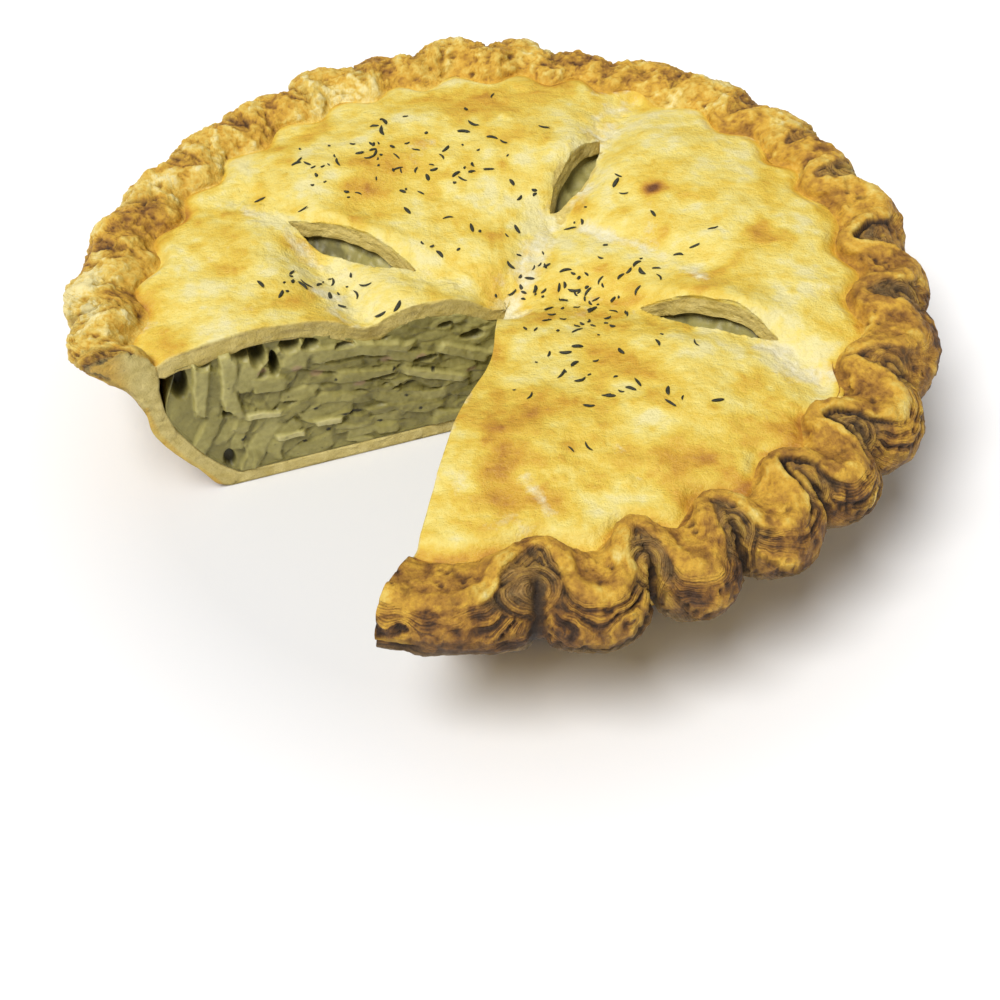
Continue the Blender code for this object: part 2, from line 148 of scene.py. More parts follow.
def noise(points, size, seed):
    """Smooth value noise from -1 to 1, at one feature size."""
    p = np.asarray(points, float) / size + 1000.0
    if p.shape[-1] == 2:
        p = np.concatenate([p, np.full(p.shape[:-1] + (1,), 0.37)], axis=-1)
    cell = np.floor(p).astype(np.int64)
    t = p - cell
    t = t * t * (3.0 - 2.0 * t)
    total = 0.0
    for dx in (0, 1):
        for dy in (0, 1):
            for dz in (0, 1):
                corner = hashed(cell[..., 0] + dx, cell[..., 1] + dy, cell[..., 2] + dz, seed)
                weight = (t[..., 0] if dx else 1 - t[..., 0]) * (t[..., 1] if dy else 1 - t[..., 1])
                total = total + corner * weight * (t[..., 2] if dz else 1 - t[..., 2])
    return total * 2.0 - 1.0


def fbm(points, size, seed, octaves=4, gain=0.5):
    total, strength, top = 0.0, 1.0, 0.0
    for octave in range(octaves):
        total = total + noise(points, size / 2.0**octave, seed + octave * 17) * strength
        top += strength
        strength *= gain
    return total / top


def stack(*parts):
    return np.stack(np.broadcast_arrays(*parts), axis=-1)


def turned(dx, dy, turn):
    """How far an offset reaches along a direction and across it. turn is in radians."""
    return dx * math.cos(turn) + dy * math.sin(turn), dy * math.cos(turn) - dx * math.sin(turn)


# The shared form, as in the solids

def crimp_index(angle):
    """Counts the notches: a whole number at each notch."""
    return np.interp(angle, NOTCH_ANGLES, np.arange(len(NOTCHES)))


def rim_lift(angle):
    return sum(rise * hill(angle, middle, reach) for middle, rise, reach in RIM_BUMPS)


def at_left_cut(angle):
    return hill(angle, CUT_LEFT, LEFT_CUT_REACH)


def rim_droop(angle):
    return OUTER_DROP * (1.0 - at_left_cut(angle))


def outer_radius(angle):
    index = crimp_index(angle)
    share = index % 1.0
    notch = np.interp(angle, NOTCH_ANGLES, NOTCH_RADII)
    lobe = LOBE_RADII[np.minimum(index.astype(int), len(NOTCHES) - 1)]
    return notch + (lobe - notch) * np.sin(np.pi * share) ** LOBE_ROUNDNESS


def inner_radius(angle):
    share = crimp_index(angle) % 1.0
    return INNER_RADIUS - INNER_WAVE * np.cos(2.0 * np.pi * share)


def side_shift(angle, radius):
    """The right cut bends near the tip, and the rim's end flares past the cut."""
    turn = angle - CUT_RIGHT
    bend = CUT_BEND * hill(radius, CUT_BEND_AT, CUT_BEND_WIDTH) * np.maximum(0.0, 1.0 - turn / CUT_BEND_REACH)
    flare = RIM_FLARE * np.clip((radius - RIM_FLARE_START) / RIM_FLARE_WIDTH, 0.0, 1.0)
    return bend - flare * np.maximum(0.0, 1.0 - turn / RIM_FLARE_REACH)


def plan_point(angle, radius):
    """The point of this radius from the pie's axis on the ray from the slice's tip."""
    turn = np.radians(angle)
    cx, cy = np.cos(turn), np.sin(turn)
    ahead = APEX[0] * cx + APEX[1] * cy
    reach = np.sqrt(np.maximum(0.0, ahead * ahead - APEX @ APEX + radius * radius)) - ahead
    side = side_shift(angle, radius)
    return APEX[0] + cx * reach - cy * side, APEX[1] + cy * reach + cx * side


def polar(p):
    """A point's angle on the rays from the slice's tip, from the right cut to the left cut."""
    angle = np.degrees(np.arctan2(p[..., 1] - APEX[1], p[..., 0] - APEX[0]))
    return np.where(angle < CUT_RIGHT - 10.0, angle + 360.0, angle)


def cut_axes(side):
    """A cut face's direction away from the tip, and its normal. side is 0 at the right cut and -1 at the left."""
    turn = math.radians(CUT_RIGHT if side == 0 else CUT_LEFT)
    return np.array((math.cos(turn), math.sin(turn))), np.array((-math.sin(turn), math.cos(turn)))


def cut_depth(p, side):
    """How far a point is behind a cut face."""
    ray, normal = cut_axes(side)
    away = (p[:, :2] - APEX) @ normal
    ahead = (p[:, :2] - APEX) @ ray
    return np.where(ahead > -2.0, away if side == 0 else -away, 50.0)


def path_distance(x, y, path):
    best = np.full(np.shape(x), 1e9)
    for (ax, ay), (bx, by) in zip(path, path[1:]):
        rx, ry = bx - ax, by - ay
        share = np.clip(((x - ax) * rx + (y - ay) * ry) / (rx * rx + ry * ry), 0.0, 1.0)
        best = np.minimum(best, np.hypot(x - ax - rx * share, y - ay - ry * share))
    return best


def slit_frame(x, y, slit):
    middle, direction, length, _ = slit
    turn = math.radians(direction)
    along, across = turned(x - middle[0], y - middle[1], turn)
    if math.cos(turn) < 0.0:
        across = -across
    return along / (length / 2.0), across


def lid_base(x, y):
    radius = np.hypot(x, y)
    height = LID_EDGE_LEVEL + LID_PUFF * hill(radius, LID_PUFF_RADIUS, LID_PUFF_WIDTH)
    for path, depth, width in CREASES:
        height = height - depth * hill(path_distance(x, y, path), 0.0, width)
    for slit in SLITS:
        along, across = slit_frame(x, y, slit)
        height = height + SLIT_LIP * np.exp(-(along**4)) * hill(across, 6.0, 5.0)
    return height


# Meshes

class Skin:
    """A closed skin made of rows of points, each row running from the right cut to the left cut."""

    def __init__(self):
        self.points, self.rows, self.angles, self.faces, self.count = [], [], [], [], 0

    def add(self, points):
        points = np.asarray(points, float).reshape(-1, 3)
        self.points.append(points)
        found = np.arange(self.count, self.count + len(points))
        self.count += len(points)
        return found

    def row(self, angles, points):
        found = self.add(points)
        if self.rows:
            self.join(self.rows[-1], self.angles[-1], found, angles)
        self.rows.append(found)
        self.angles.append(angles)

    def ring(self, angles, radius, height):
        """A row at a radius from the pie's axis. height is a number or a function of x and y."""
        x, y = plan_point(angles, radius)
        self.row(angles, stack(x, y, height(x, y) if callable(height) else height))

    def join(self, lower, lower_angles, upper, upper_angles):
        if len(lower) == len(upper):
            quads = np.stack([lower[:-1], lower[1:], upper[1:], upper[:-1]], axis=1)
            self.faces += quads.tolist()
            return
        i = j = 0
        while i < len(lower) - 1 or j < len(upper) - 1:
            next_lower = lower_angles[i + 1] if i < len(lower) - 1 else 1e9
            next_upper = upper_angles[j + 1] if j < len(upper) - 1 else 1e9
            if next_lower <= next_upper + 1e-9:
                self.faces.append([int(lower[i]), int(lower[i + 1]), int(upper[j])])
                i += 1
            else:
                self.faces.append([int(lower[i]), int(upper[j + 1]), int(upper[j])])
                j += 1

    def cap(self, side, spacing, relief, clear=0.55):
        """Closes a cut face: side is 0 at the right cut and -1 at the left. relief gives how far a
        point at some reach from the tip and some height stands out of the face."""
        loop = np.array([row[side] for row in self.rows])
        spots = np.concatenate(self.points)[loop]
        flat = np.stack([np.hypot(*(spots[:, :2] - APEX).T), spots[:, 2]], axis=1)
        inside = grid_inside(flat, spacing, clear)
        angle = CUT_RIGHT if side == 0 else CUT_LEFT
        out = -1.0 if side == 0 else 1.0
        ray, normal = cut_axes(side)
        bend = side_shift(angle, np.hypot(*(APEX[:, None] + ray[:, None] * inside[:, 0])))
        stand = relief(inside[:, 0], inside[:, 1]) * out
        plan = APEX + inside[:, :1] * ray + (bend + stand)[:, None] * normal
        extra = self.add(np.column_stack([plan, inside[:, 1]]))
        numbers = np.concatenate([loop, extra])
        every = np.concatenate([flat, inside])
        found = delaunay_2d_cdt([Vector(p) for p in every], [], [list(range(len(loop)))], 1, 1e-7)
        first = [origin[0] for origin in found[3]]
        for face in found[2]:
            corners = [int(numbers[first[c]]) for c in face]
            self.faces.append(corners if side == 0 else corners[::-1])

    def mesh(self, name):
        return make_mesh(name, np.concatenate(self.points), self.faces)


def grid_inside(outline, spacing, clear):
    """Points of a staggered grid inside an outline, clear of its corners."""
    low, high = outline.min(0), outline.max(0)
    xs = np.arange(low[0], high[0], spacing)
    ys = np.arange(low[1], high[1], spacing * 0.87)
    gx, gy = np.meshgrid(xs, ys)
    gx = gx + (np.arange(len(ys)) % 2)[:, None] * spacing * 0.5
    spots = np.stack([gx.ravel(), gy.ravel()], axis=1)
    inside = np.zeros(len(spots), bool)
    near = np.full(len(spots), 1e9)
    for a, b in zip(outline, np.roll(outline, -1, axis=0)):
        if a[1] != b[1]:
            crosses = (a[1] > spots[:, 1]) != (b[1] > spots[:, 1])
            at = a[0] + (spots[:, 1] - a[1]) * (b[0] - a[0]) / (b[1] - a[1])
            inside ^= crosses & (spots[:, 0] < at)
        run = b - a
        length = run @ run
        share = np.clip(((spots - a) @ run) / max(length, 1e-12), 0.0, 1.0)
        near = np.minimum(near, np.hypot(*(spots - a - share[:, None] * run).T))
    return spots[inside & (near > spacing * clear)]


def make_mesh(name, points, faces):
    data = bpy.data.meshes.new(name)
    data.from_pydata((np.asarray(points) * MM).tolist(), [], faces if isinstance(faces, list) else faces.tolist())
    data.validate()
    data.shade_smooth()
    made = bpy.data.objects.new(name, data)
    bpy.context.scene.collection.objects.link(made)
    return made


def fix_normals(piece):
    work = bmesh.new()
    work.from_mesh(piece.data)
    bmesh.ops.recalc_face_normals(work, faces=work.faces)
    work.to_mesh(piece.data)
    work.free()


def positions(piece):
    found = np.zeros(len(piece.data.vertices) * 3, np.float32)
    piece.data.vertices.foreach_get("co", found)
    return found.reshape(-1, 3).astype(float) / MM


def cut_facing(piece):
    """For each cut face, how squarely each vertex faces out of it, and how far it is behind it."""
    normals = np.zeros(len(piece.data.vertices) * 3, np.float32)
    piece.data.vertices.foreach_get("normal", normals)
    p = positions(piece)
    for side, sign in ((0, -1.0), (-1, 1.0)):
        yield normals.reshape(-1, 3)[:, :2] @ cut_axes(side)[1] * sign, cut_depth(p, side)


def attribute(piece, name, values):
    made = piece.data.attributes.new(name, "FLOAT", "POINT")
    made.data.foreach_set("value", np.asarray(values, np.float32).ravel())


def grid_normals(grid):
    """Unit normals of a grid of points, rows by stations."""
    along = np.gradient(grid, axis=1)
    up = np.gradient(grid, axis=0)
    normal = np.cross(along, up)
    size = np.linalg.norm(normal, axis=-1, keepdims=True)
    return normal / np.maximum(size, 1e-9)


def through(controls, counts):
    """A smooth curve through rows of control points, with so many steps between each two."""
    controls = np.asarray(controls)
    padded = np.concatenate([2 * controls[:1] - controls[1:2], controls, 2 * controls[-1:] - controls[-2:-1]])
    rows = []
    for i, count in enumerate(counts):
        p0, p1, p2, p3 = padded[i], padded[i + 1], padded[i + 2], padded[i + 3]
        for step in range(count):
            t = step / count
            rows.append(0.5 * (2 * p1 + (p2 - p0) * t + (2 * p0 - 5 * p1 + 4 * p2 - p3) * t * t
                               + (3 * p1 - p0 - 3 * p2 + p3) * t**3))
    rows.append(controls[-1])
    return np.array(rows)


# The crust

def crimp_domes():
    """The rolls of the rope in plan: middle, turn, half sizes, kind."""
    found = []
    draw = np.random.default_rng(7)
    last = len(NOTCHES) - 1
    for k in range(len(NOTCHES)):
        left = NOTCH_ANGLES[k] - NOTCH_ANGLES[max(k - 1, 0)]
        right = NOTCH_ANGLES[min(k + 1, last)] - NOTCH_ANGLES[k]
        wide = (left + right) / 2.0 if 0 < k < last else max(left, right)
        radius = 117.5 + draw.uniform(-0.8, 0.8)
        angle = NOTCH_ANGLES[k] + draw.uniform(-0.6, 0.6)
        span = math.radians(wide) * radius
        found.append((*plan_point(angle, radius), math.radians(angle), span * 0.46, 14.0 + draw.uniform(-1, 1), 0))
        if k < last:
            radius = LOBE_RADII[k] - 10.0
            span = math.radians(right) * radius
            angle = NOTCH_ANGLES[k] + right * 0.5
            found.append((*plan_point(angle, radius), math.radians(angle), span * 0.55, 12.0, 1))
    return found


DOMES = crimp_domes()


def dome_rise(x, y):
    """The height of the rolls."""
    rise = np.zeros(np.shape(x))
    falling = 1.0 - 0.55 * smooth(np.hypot(x, y), 110.0, 127.0)
    for cx, cy, angle, wide, deep, sort in DOMES:
        radial, around = turned(x - cx, y - cy, angle)
        away = np.hypot(around / wide, radial / deep)
        dome = np.sqrt(np.clip(1.0 - (away * 0.88) ** 2, 0.0, 1.0))
        dome = dome * OUTER_RISE if sort else dome * INNER_RISE * falling
        rise = rise + np.exp(dome * 1.1) - 1.0
    return np.log1p(rise) / 1.1


def rope_line():
    """The middle of the folded ribbon that makes the rope: it swings in at the notches and out in the lobes."""
    angles = np.linspace(CUT_RIGHT - 4.0, CUT_LEFT + 2.0, ROPE_STATIONS)
    share = crimp_index(angles) % 1.0
    skew = share + 0.05 * np.sin(2.0 * np.pi * share)
    swing = np.clip(np.cos(2.0 * np.pi * skew) + 0.18, -1.0, 1.0)
    across = 0.45 - 0.28 * np.sign(swing) * np.abs(swing) ** 0.48
    wander = noise(np.stack([angles * 0.30, 0 * angles], axis=1), 2.0, 201)
    radius = mix(inner_radius(angles), outer_radius(angles), across + 0.04 * wander)
    x, y = plan_point(angles, radius)
    return angles, radius, x, y


def rope_field(x, y):
    """How far each point is from the rope's line, outward counted positive."""
    angles, radius, lx, ly = rope_line()
    tree = KDTree(len(lx))
    for i, (px, py) in enumerate(zip(lx.tolist(), ly.tolist())):
        tree.insert((px, py, 0.0), i)
    tree.balance()
    away = np.array([tree.find((px, py, 0.0))[2] for px, py in zip(x.ravel().tolist(), y.ravel().tolist())])
    away = away.reshape(x.shape)
    outward = np.hypot(x, y) > np.interp(polar(stack(x, y)), angles, radius)
    return np.where(outward, away, -away)


def crust_details(x, y, z, angle, arc):
    """How far the rim's skin stands out, and what shows there. arc is the way up the rim's section."""
    p = stack(x, y, z)
    rough = side_share(angle)
    rope = rope_field(x, y)
    wind = fbm(p, 9.0, 3, 3)
    index = crimp_index(angle)
    roll, lobe = np.floor(index + 0.5), np.floor(index)
    roll_number, lobe_number = roll.astype(np.int64), lobe.astype(np.int64)
    near_notch = np.abs(index - roll)
    within = smooth(near_notch, 0.40, 0.24)
    within = np.where(rope > 0.0, within, 0.0)
    pick = hashed(roll_number, 0, 0, 5)
    other = hashed(roll_number, 0, 0, 6)
    third = hashed(lobe_number, 0, 0, 7)
    d = rope + wind * 1.1
    # the smooth ribbon, golden, with the layers packed behind it, on the rim's top only
    lower = smooth(arc, 32.0, 25.0)
    upper = 1.0 - 0.9 * lower
    uneven = 0.72 + 0.45 * fbm(p, 15.0, 23, 2)
    ribbon = np.exp(-(np.abs(d + 0.4) / (2.2 + uneven)) ** 2.2) * uneven * upper
    behind = smooth(d, 1.3, 2.6)
    before = smooth(d, -2.0, -3.6) * upper
    # where the layers of one lobe pinch against the next, out at the notch
    radius = np.hypot(x, y)
    lean = (radius - 116.0) * mix(0.05, 0.12, other)
    run = (index - roll) * 27.0 + lean + wind * 1.2
    depth_in = smooth(radius, 113.0, 119.0)
    crease = hill(run, 0.0, 1.0) * depth_in * mix(0.45, 1.0, rough)
    spread = smooth(np.abs(run), 0.0, 3.2)
    # layers: nested arcs that close up towards the notch, and lines along the lobes' outer face
    knob_away = np.hypot((index - roll) * 27.0 + 0.8, radius - 118.0 - pick * 2.0) + wind * 1.5
    knob = hill(knob_away, 0.0, 4.6) * within * upper
    wound = knob_away / 2.1 + np.arctan2(radius - 118.0, (index - roll) * 27.0 + 0.8) / (2.0 * math.pi)
    squeeze = mix(0.75, 1.0, spread)
    phase = np.where(rope > -1.0, d / (2.15 * squeeze), d / 3.0) + wind * 0.7 + lobe * 0.37
    face = arc / 3.0 + wind * 0.35 + near_notch * 1.2 + lobe * 0.61
    phase = np.where(lower > 0.5, face, phase)
    phase = np.where(within * (knob_away < 6.5) > 0.5, wound, phase)
    share = phase % 1.0
    whole = np.floor(phase).astype(np.int64)
    layer = hashed(whole, lobe_number, 0, 9)
    line = hashed(np.floor(phase + 0.5).astype(np.int64), lobe_number, 0, 10)
    groove = np.exp(-((np.abs(share - 0.5) - 0.5) / mix(0.10, 0.19, line)) ** 2) * mix(0.2, 1.2, line)
    patchy = smooth(fbm(p, 11.0, 21, 3), -0.40, 0.10)
    layered = np.maximum(behind, lower * 0.7) * (0.25 + 0.75 * patchy) * mix(0.30, 1.0, rough) * (1.0 - crease)
    rings = (0.30 - groove * 1.15 + (layer - 0.5) * 0.8) * layered
    sunk = within * behind * smooth(radius, 127.0, 121.0) * upper
    moat = hill(d + wind * 0.8, 2.3, 0.60) * smooth(near_notch, 0.36, 0.20) * (rope > 0.0) * (other > 0.40) * upper
    crack = moat * smooth(np.abs(index - roll - (pick - 0.5) * 0.22), 0.22, 0.12)
    outer_crack = hill(arc + wind * 0.9, 20.0 + third * 7.0, 0.62)
    outer_crack = outer_crack * smooth(np.abs(index - lobe - 0.35 - third * 0.3), 0.42, 0.22) * (third > 0.50)
    crack = np.maximum(crack, outer_crack) * mix(0.1, 1.0, rough)
    relief = ribbon * 1.5 - sunk * mix(0.9, 1.6, pick) + knob * 2.4 - moat * 0.7 - before * 0.6
    relief = relief * mix(0.25, 1.0, rough)
    lump = fbm(p, 9.0, 31, 4) * mix(1.7, 0.8, rough) * (1.0 - 0.6 * lower)
    lump = lump + fbm(p, 4.0, 33, 3) * mix(1.0, 0.55, rough)
    steps = fbm(p, 8.0, 61, 4) * 5.0
    terrace = (np.floor(steps) + smooth(steps % 1.0, 0.78, 1.0)) * mix(0.42, 0.22, rough) * (1.0 - 0.8 * lower)
    edge = hill(steps % 1.0, 0.88, 0.10) * (1.0 - 0.8 * lower)
    grain = fbm(p, 1.8, 41, 3) * 0.38
    crumbs = smooth(fbm(p, 2.0, 43, 2), 0.1, 0.5) * (sunk * 0.7 + 0.15)
    pits = smooth(fbm(p, 2.8, 51, 3), 0.25, 0.55) * (1.0 - ribbon * 0.7) * (1.0 - 0.7 * lower)
    skin = rings + relief + lump + grain + terrace + crumbs * 0.5 - pits * 0.7 - crack * 2.4 - crease * 1.5
    return {
        "skin": skin, "crease": crease, "groove": groove, "layer": layer, "layered": layered, "crack": crack,
        "ribbon": ribbon, "sunk": sunk, "moat": moat, "pits": pits, "patchy": patchy, "edge": edge, "lower": lower,
        "before": before, "phase": phase,
    }


def side_share(angle):
    """1 on the darker, rougher front and right of the rim, 0 at the left and the back."""
    turn = (np.asarray(angle) + 180.0) % 360.0 - 180.0
    return smooth(turn, 50.0, 14.0) * smooth(turn, -175.0, -150.0)


def rim_height(angles, across, x, y):
    """The rim's top without its layers: rolls that fade towards the back and the left."""
    rise = dome_rise(x, y) * mix(0.55, 1.0, side_share(angles)) + mix(1.8, 0.0, side_share(angles))
    soft = mix(0.40, 0.12, side_share(angles))
    rise = rise * mix(0.35, 1.0, smooth(across, -0.02, soft))
    height = RIM_FLOOR + rise + rim_lift(angles) * smooth(across, -0.05, soft)
    return height - rim_droop(angles) * np.maximum(0.0, (across - 0.5) / 0.5) ** 2


def rim_grid():
    angles = np.linspace(CUT_RIGHT, CUT_LEFT, RIM_STATIONS)
    outer, inner = outer_radius(angles), inner_radius(angles)
    lift, cut = rim_lift(angles), at_left_cut(angles)
    controls = [stack(108.0 + 0 * angles, 37.0 + 0 * angles)]
    for inward, height, raised in RIM_UNDER:
        controls.append(stack(outer - inward, height + lift * UNDER_LIFT + raised * cut))
    lower = through(controls, (6, 6, 7))
    tops = []
    for across in np.linspace(0.98, 0.0, RIM_TOP_ROWS):
        radius = mix(inner - 0.6, outer, across)
        x, y = plan_point(angles, radius)
        height = rim_height(angles, across, x, y)
        height = mix(SEAM_HEIGHT - 1.0, height, smooth(across, -0.01, 0.12))
        tops.append(stack(radius, height))
    tops = np.array(tops)
    # the round shoulder between the outer face and the top
    joined = np.concatenate([lower, tops])
    for _ in range(5):
        soft = joined.copy()
        soft[1:-1] = (joined[:-2] + joined[1:-1] * 2 + joined[2:]) / 4.0
        part = hill(np.arange(len(joined)), len(lower) + 1.0, 7.0)[:, None, None]
        joined = mix(joined, soft, part)
    x, y = plan_point(angles[None, :], joined[..., 0])
    points = stack(x, y, joined[..., 1])
    rows = len(points)
    normal = grid_normals(points)
    arc = np.cumsum(np.linalg.norm(np.diff(points, axis=0, prepend=points[:1]), axis=-1), axis=0)
    details = crust_details(x, y, points[..., 2], np.broadcast_to(angles, x.shape), arc)
    fade = smooth(np.arange(rows), 0, 5)[:, None] * smooth(np.arange(rows), rows - 1, rows - 5)[:, None]
    details["hollow"] = hollows(details["skin"]) * fade
    return angles, points + normal * (details["skin"] * fade)[..., None], details


def hollows(skin):
    """How far the skin lies below its surroundings on the grid, in millimetres."""
    around = skin.copy()
    for axis, reach in ((0, 3), (1, 5)):
        total = np.zeros_like(around)
        for step in range(-reach, reach + 1):
            total = total + np.roll(around, step, axis=axis)
        around = total / (2 * reach + 1)
    return around - skin


def build_crust(finish):
    angles, rim, details = rim_grid()
    coarse = angles[:: (RIM_STATIONS - 1) // (WALL_STATIONS - 1)]
    skin = Skin()
    skin.row(np.array([CUT_RIGHT]), [(APEX[0], APEX[1], 0.0)])
    for radius in (30.0, 60.0, 80.0, BASE_RADIUS):
        skin.ring(coarse, radius, 0.0)
    wall = through(np.array(((BASE_RADIUS, 0.0), *WALL_OUTER)), (2, 5, 6, 9, 6))[1:-1]
    grid = np.array([stack(*plan_point(coarse, radius), height) for radius, height in wall])
    normal = grid_normals(grid)
    bumps = fbm(grid, 16.0, 71, 4) * 0.9 + fbm(grid * (1, 1, 0.35), 4.0, 72, 3) * 0.4
    fade = smooth(np.arange(len(grid)), -1, 4) * smooth(np.arange(len(grid)), len(grid), len(grid) - 5)
    grid = grid + normal * (bumps * fade[:, None])[..., None]
    for row in grid:
        skin.row(coarse, row)
    first = skin.count
    for row in rim:
        skin.row(angles, row)
    for height in (SEAM_HEIGHT - 3.5, SHELF_HEIGHT):
        skin.ring(angles, inner_radius(angles) - 0.4, height)
    few = coarse[::4]
    for radius, height in WALL_INNER:
        skin.ring(few, radius, height)
    for radius in (60.0, 30.0):
        skin.ring(few, radius, BASE_TOP)
    skin.row(np.array([CUT_RIGHT]), [(APEX[0], APEX[1], BASE_TOP)])
    for side in (0, -1):
        skin.cap(side, 0.8, dough_relief)
    piece = skin.mesh("crust")
    fix_normals(piece)
    colour_crust(piece, details, first)
    piece.data.materials.append(finish)
    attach(piece, "root")
    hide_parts("pastry_case")
    return piece


def dough_relief(reach, height):
    p = stack(reach, height)
    return fbm(p, 3.0, 81, 3) * 0.35 - smooth(fbm(p, 2.4, 83, 2), 0.35, 0.6) * 0.5


ORANGE_PATCHES = (
    (-108, 38, 9), (-98, 62, 8), (-118, 20, 6), (-84, 80, 7), (-66, 96, 7), (-112, -4, 5), (-40, 112, 8),
    (0, 118, 9), (38, 112, 8), (-20, 117, 6), (62, 100, 8), (86, 82, 7), (104, 58, 7),
)
PALE_PATCHES = (
    (-121, 6, 8), (-119, -14, 8), (-104, 52, 7), (-113, 46, 6), (-125, -2, 7), (-90, 86, 6), (-12, 122, 8),
    (20, 121, 7), (98, 70, 6), (76, 96, 7),
)


def colour_crust(piece, details, first):
    p = positions(piece)
    angle = polar(p)
    radius = np.hypot(p[:, 0], p[:, 1])
    rim = smooth(radius, 101.0, 106.0) * smooth(p[:, 2], 36.0, 42.0)
    rough = side_share(angle)
    d = {}
    for key, values in details.items():
        d[key] = np.zeros(len(p))
        d[key][first:first + values.size] = values.ravel()
    bake_and_shade = mix(0.34, 0.64, rough) + 0.07 * hill(angle, -75.0, 40.0)
    bake_and_shade = bake_and_shade + fbm(p, 14.0, 91, 3) * 0.34 + fbm(p, 4.0, 93, 3) * mix(0.24, 0.30, rough)
    for x, y, reach in ORANGE_PATCHES:
        bake_and_shade = bake_and_shade + 0.20 * hill(np.hypot(p[:, 0] - x, p[:, 1] - y), 0.0, reach)
    for x, y, reach in PALE_PATCHES:
        bake_and_shade = bake_and_shade - 0.26 * hill(np.hypot(p[:, 0] - x, p[:, 1] - y), 0.0, reach)
    # painted shade: the tone is darkened in the grooves between the layers
    bake_and_shade = bake_and_shade + (d["layer"] - 0.5) * 0.45 * d["layered"] + d["groove"] * 0.20 * d["layered"]
    bake_and_shade = bake_and_shade - 0.17 * d["ribbon"] * rim * mix(0.3, 1.0, rough) - 0.10 * d["before"] * rim * rough
    bake_and_shade = bake_and_shade + 0.20 * d["edge"] * rim * mix(0.8, 0.4, rough)
    scorch = hill(p[:, 2], 46.0, 5.0) * d["lower"] * rough * smooth(fbm(p, 9.0, 94, 2), -0.5, 0.2)
    bake_and_shade = bake_and_shade + 0.22 * scorch
    streak = smooth(fbm(p, 10.0, 95, 2), -0.15, 0.35)
    # the grey is partly real grey streaks on the rim's outer face and partly painted shade in the sunken notches
    grey_and_shade = np.maximum(d["sunk"], streak * 0.45 * d["lower"])
    grey_and_shade = grey_and_shade * mix(0.04, 0.55, rough) * rim * (0.30 + 0.70 * d["patchy"])
    # painted shade: the underside of the rim's overhang is painted grey
    under = smooth(p[:, 2], 47.5, 42.0) * smooth(radius, 109.0, 114.0)
    grey_and_shade = np.maximum(grey_and_shade, under * mix(0.2, 0.9, rough))
    bake_and_shade = bake_and_shade + 0.12 * grey_and_shade
    # painted shade: cracks, creases, pits, the moat round each knob and the grooves between the layers are darkened
    dark = d["crack"] * 1.2 + d["crease"] * 0.9 + d["pits"] * mix(0.22, 0.40, rough) + d["moat"] * 0.65 * rough
    dark = dark + d["groove"] * d["layered"] * 0.42
    # painted shade: the skin is darkened where it lies below its surroundings
    hollow = d["hollow"] * rim
    bake_and_shade = bake_and_shade + np.clip(hollow, -0.7, 1.0) * 0.30 * (1.0 - 0.45 * d["lower"])
    dark = dark + np.clip(hollow - 0.35, 0.0, 1.0) * (0.7 - 0.3 * d["lower"])
    dark = np.clip(dark, 0.0, 1.0) * rim
    # the wall is paler, and darker towards the bottom
    wall = 1.0 - smooth(p[:, 2], 36.0, 42.0)
    bake_and_shade = mix(bake_and_shade, 0.32 + fbm(p, 18.0, 97, 3) * 0.25 + 0.25 * smooth(p[:, 2], 14.0, 0.0), wall)
    dough = np.zeros(len(p))
    for facing, depth in cut_facing(piece):
        dough = np.where((np.abs(depth) < 1.5) & (facing > 0.55), 1.0, dough)
    # the rim's own skin is baked right up to the cuts
    baked = np.zeros(details["skin"].shape, bool)
    baked[:, 2:-2] = True
    dough[first:first + baked.size][baked.ravel()] = 0.0
    heights = [height for _, height in WALL_OUTER]
    outside = np.interp(p[:, 2], heights, [reach for reach, _ in WALL_OUTER]) - radius
    crisp = smooth(outside, 1.7, 0.5) * (p[:, 2] < 40.0)
    dough = dough * (1.0 - 0.85 * crisp) * (1.0 - 0.75 * smooth(radius, 108.0, 115.0) * smooth(p[:, 2], 34.0, 42.0))
    bake_and_shade = mix(bake_and_shade, 0.12, crisp * dough)
    # painted shadow: a dark line along the foot of the cut faces, where they stand on the floor
    dark = np.maximum(dark, 0.65 * hill(p[:, 2], 0.2, 1.1) * dough * (p[:, 2] < 3.0))
    attribute(piece, "layers", d["phase"])
    shares = {"layered": d["layered"] * rim, "bake_and_shade": bake_and_shade, "grey_and_shade": grey_and_shade, "dark": dark, "dough": dough}
    for name, values in shares.items():
        attribute(piece, name, np.clip(values, 0.0, 1.0))


# Materials

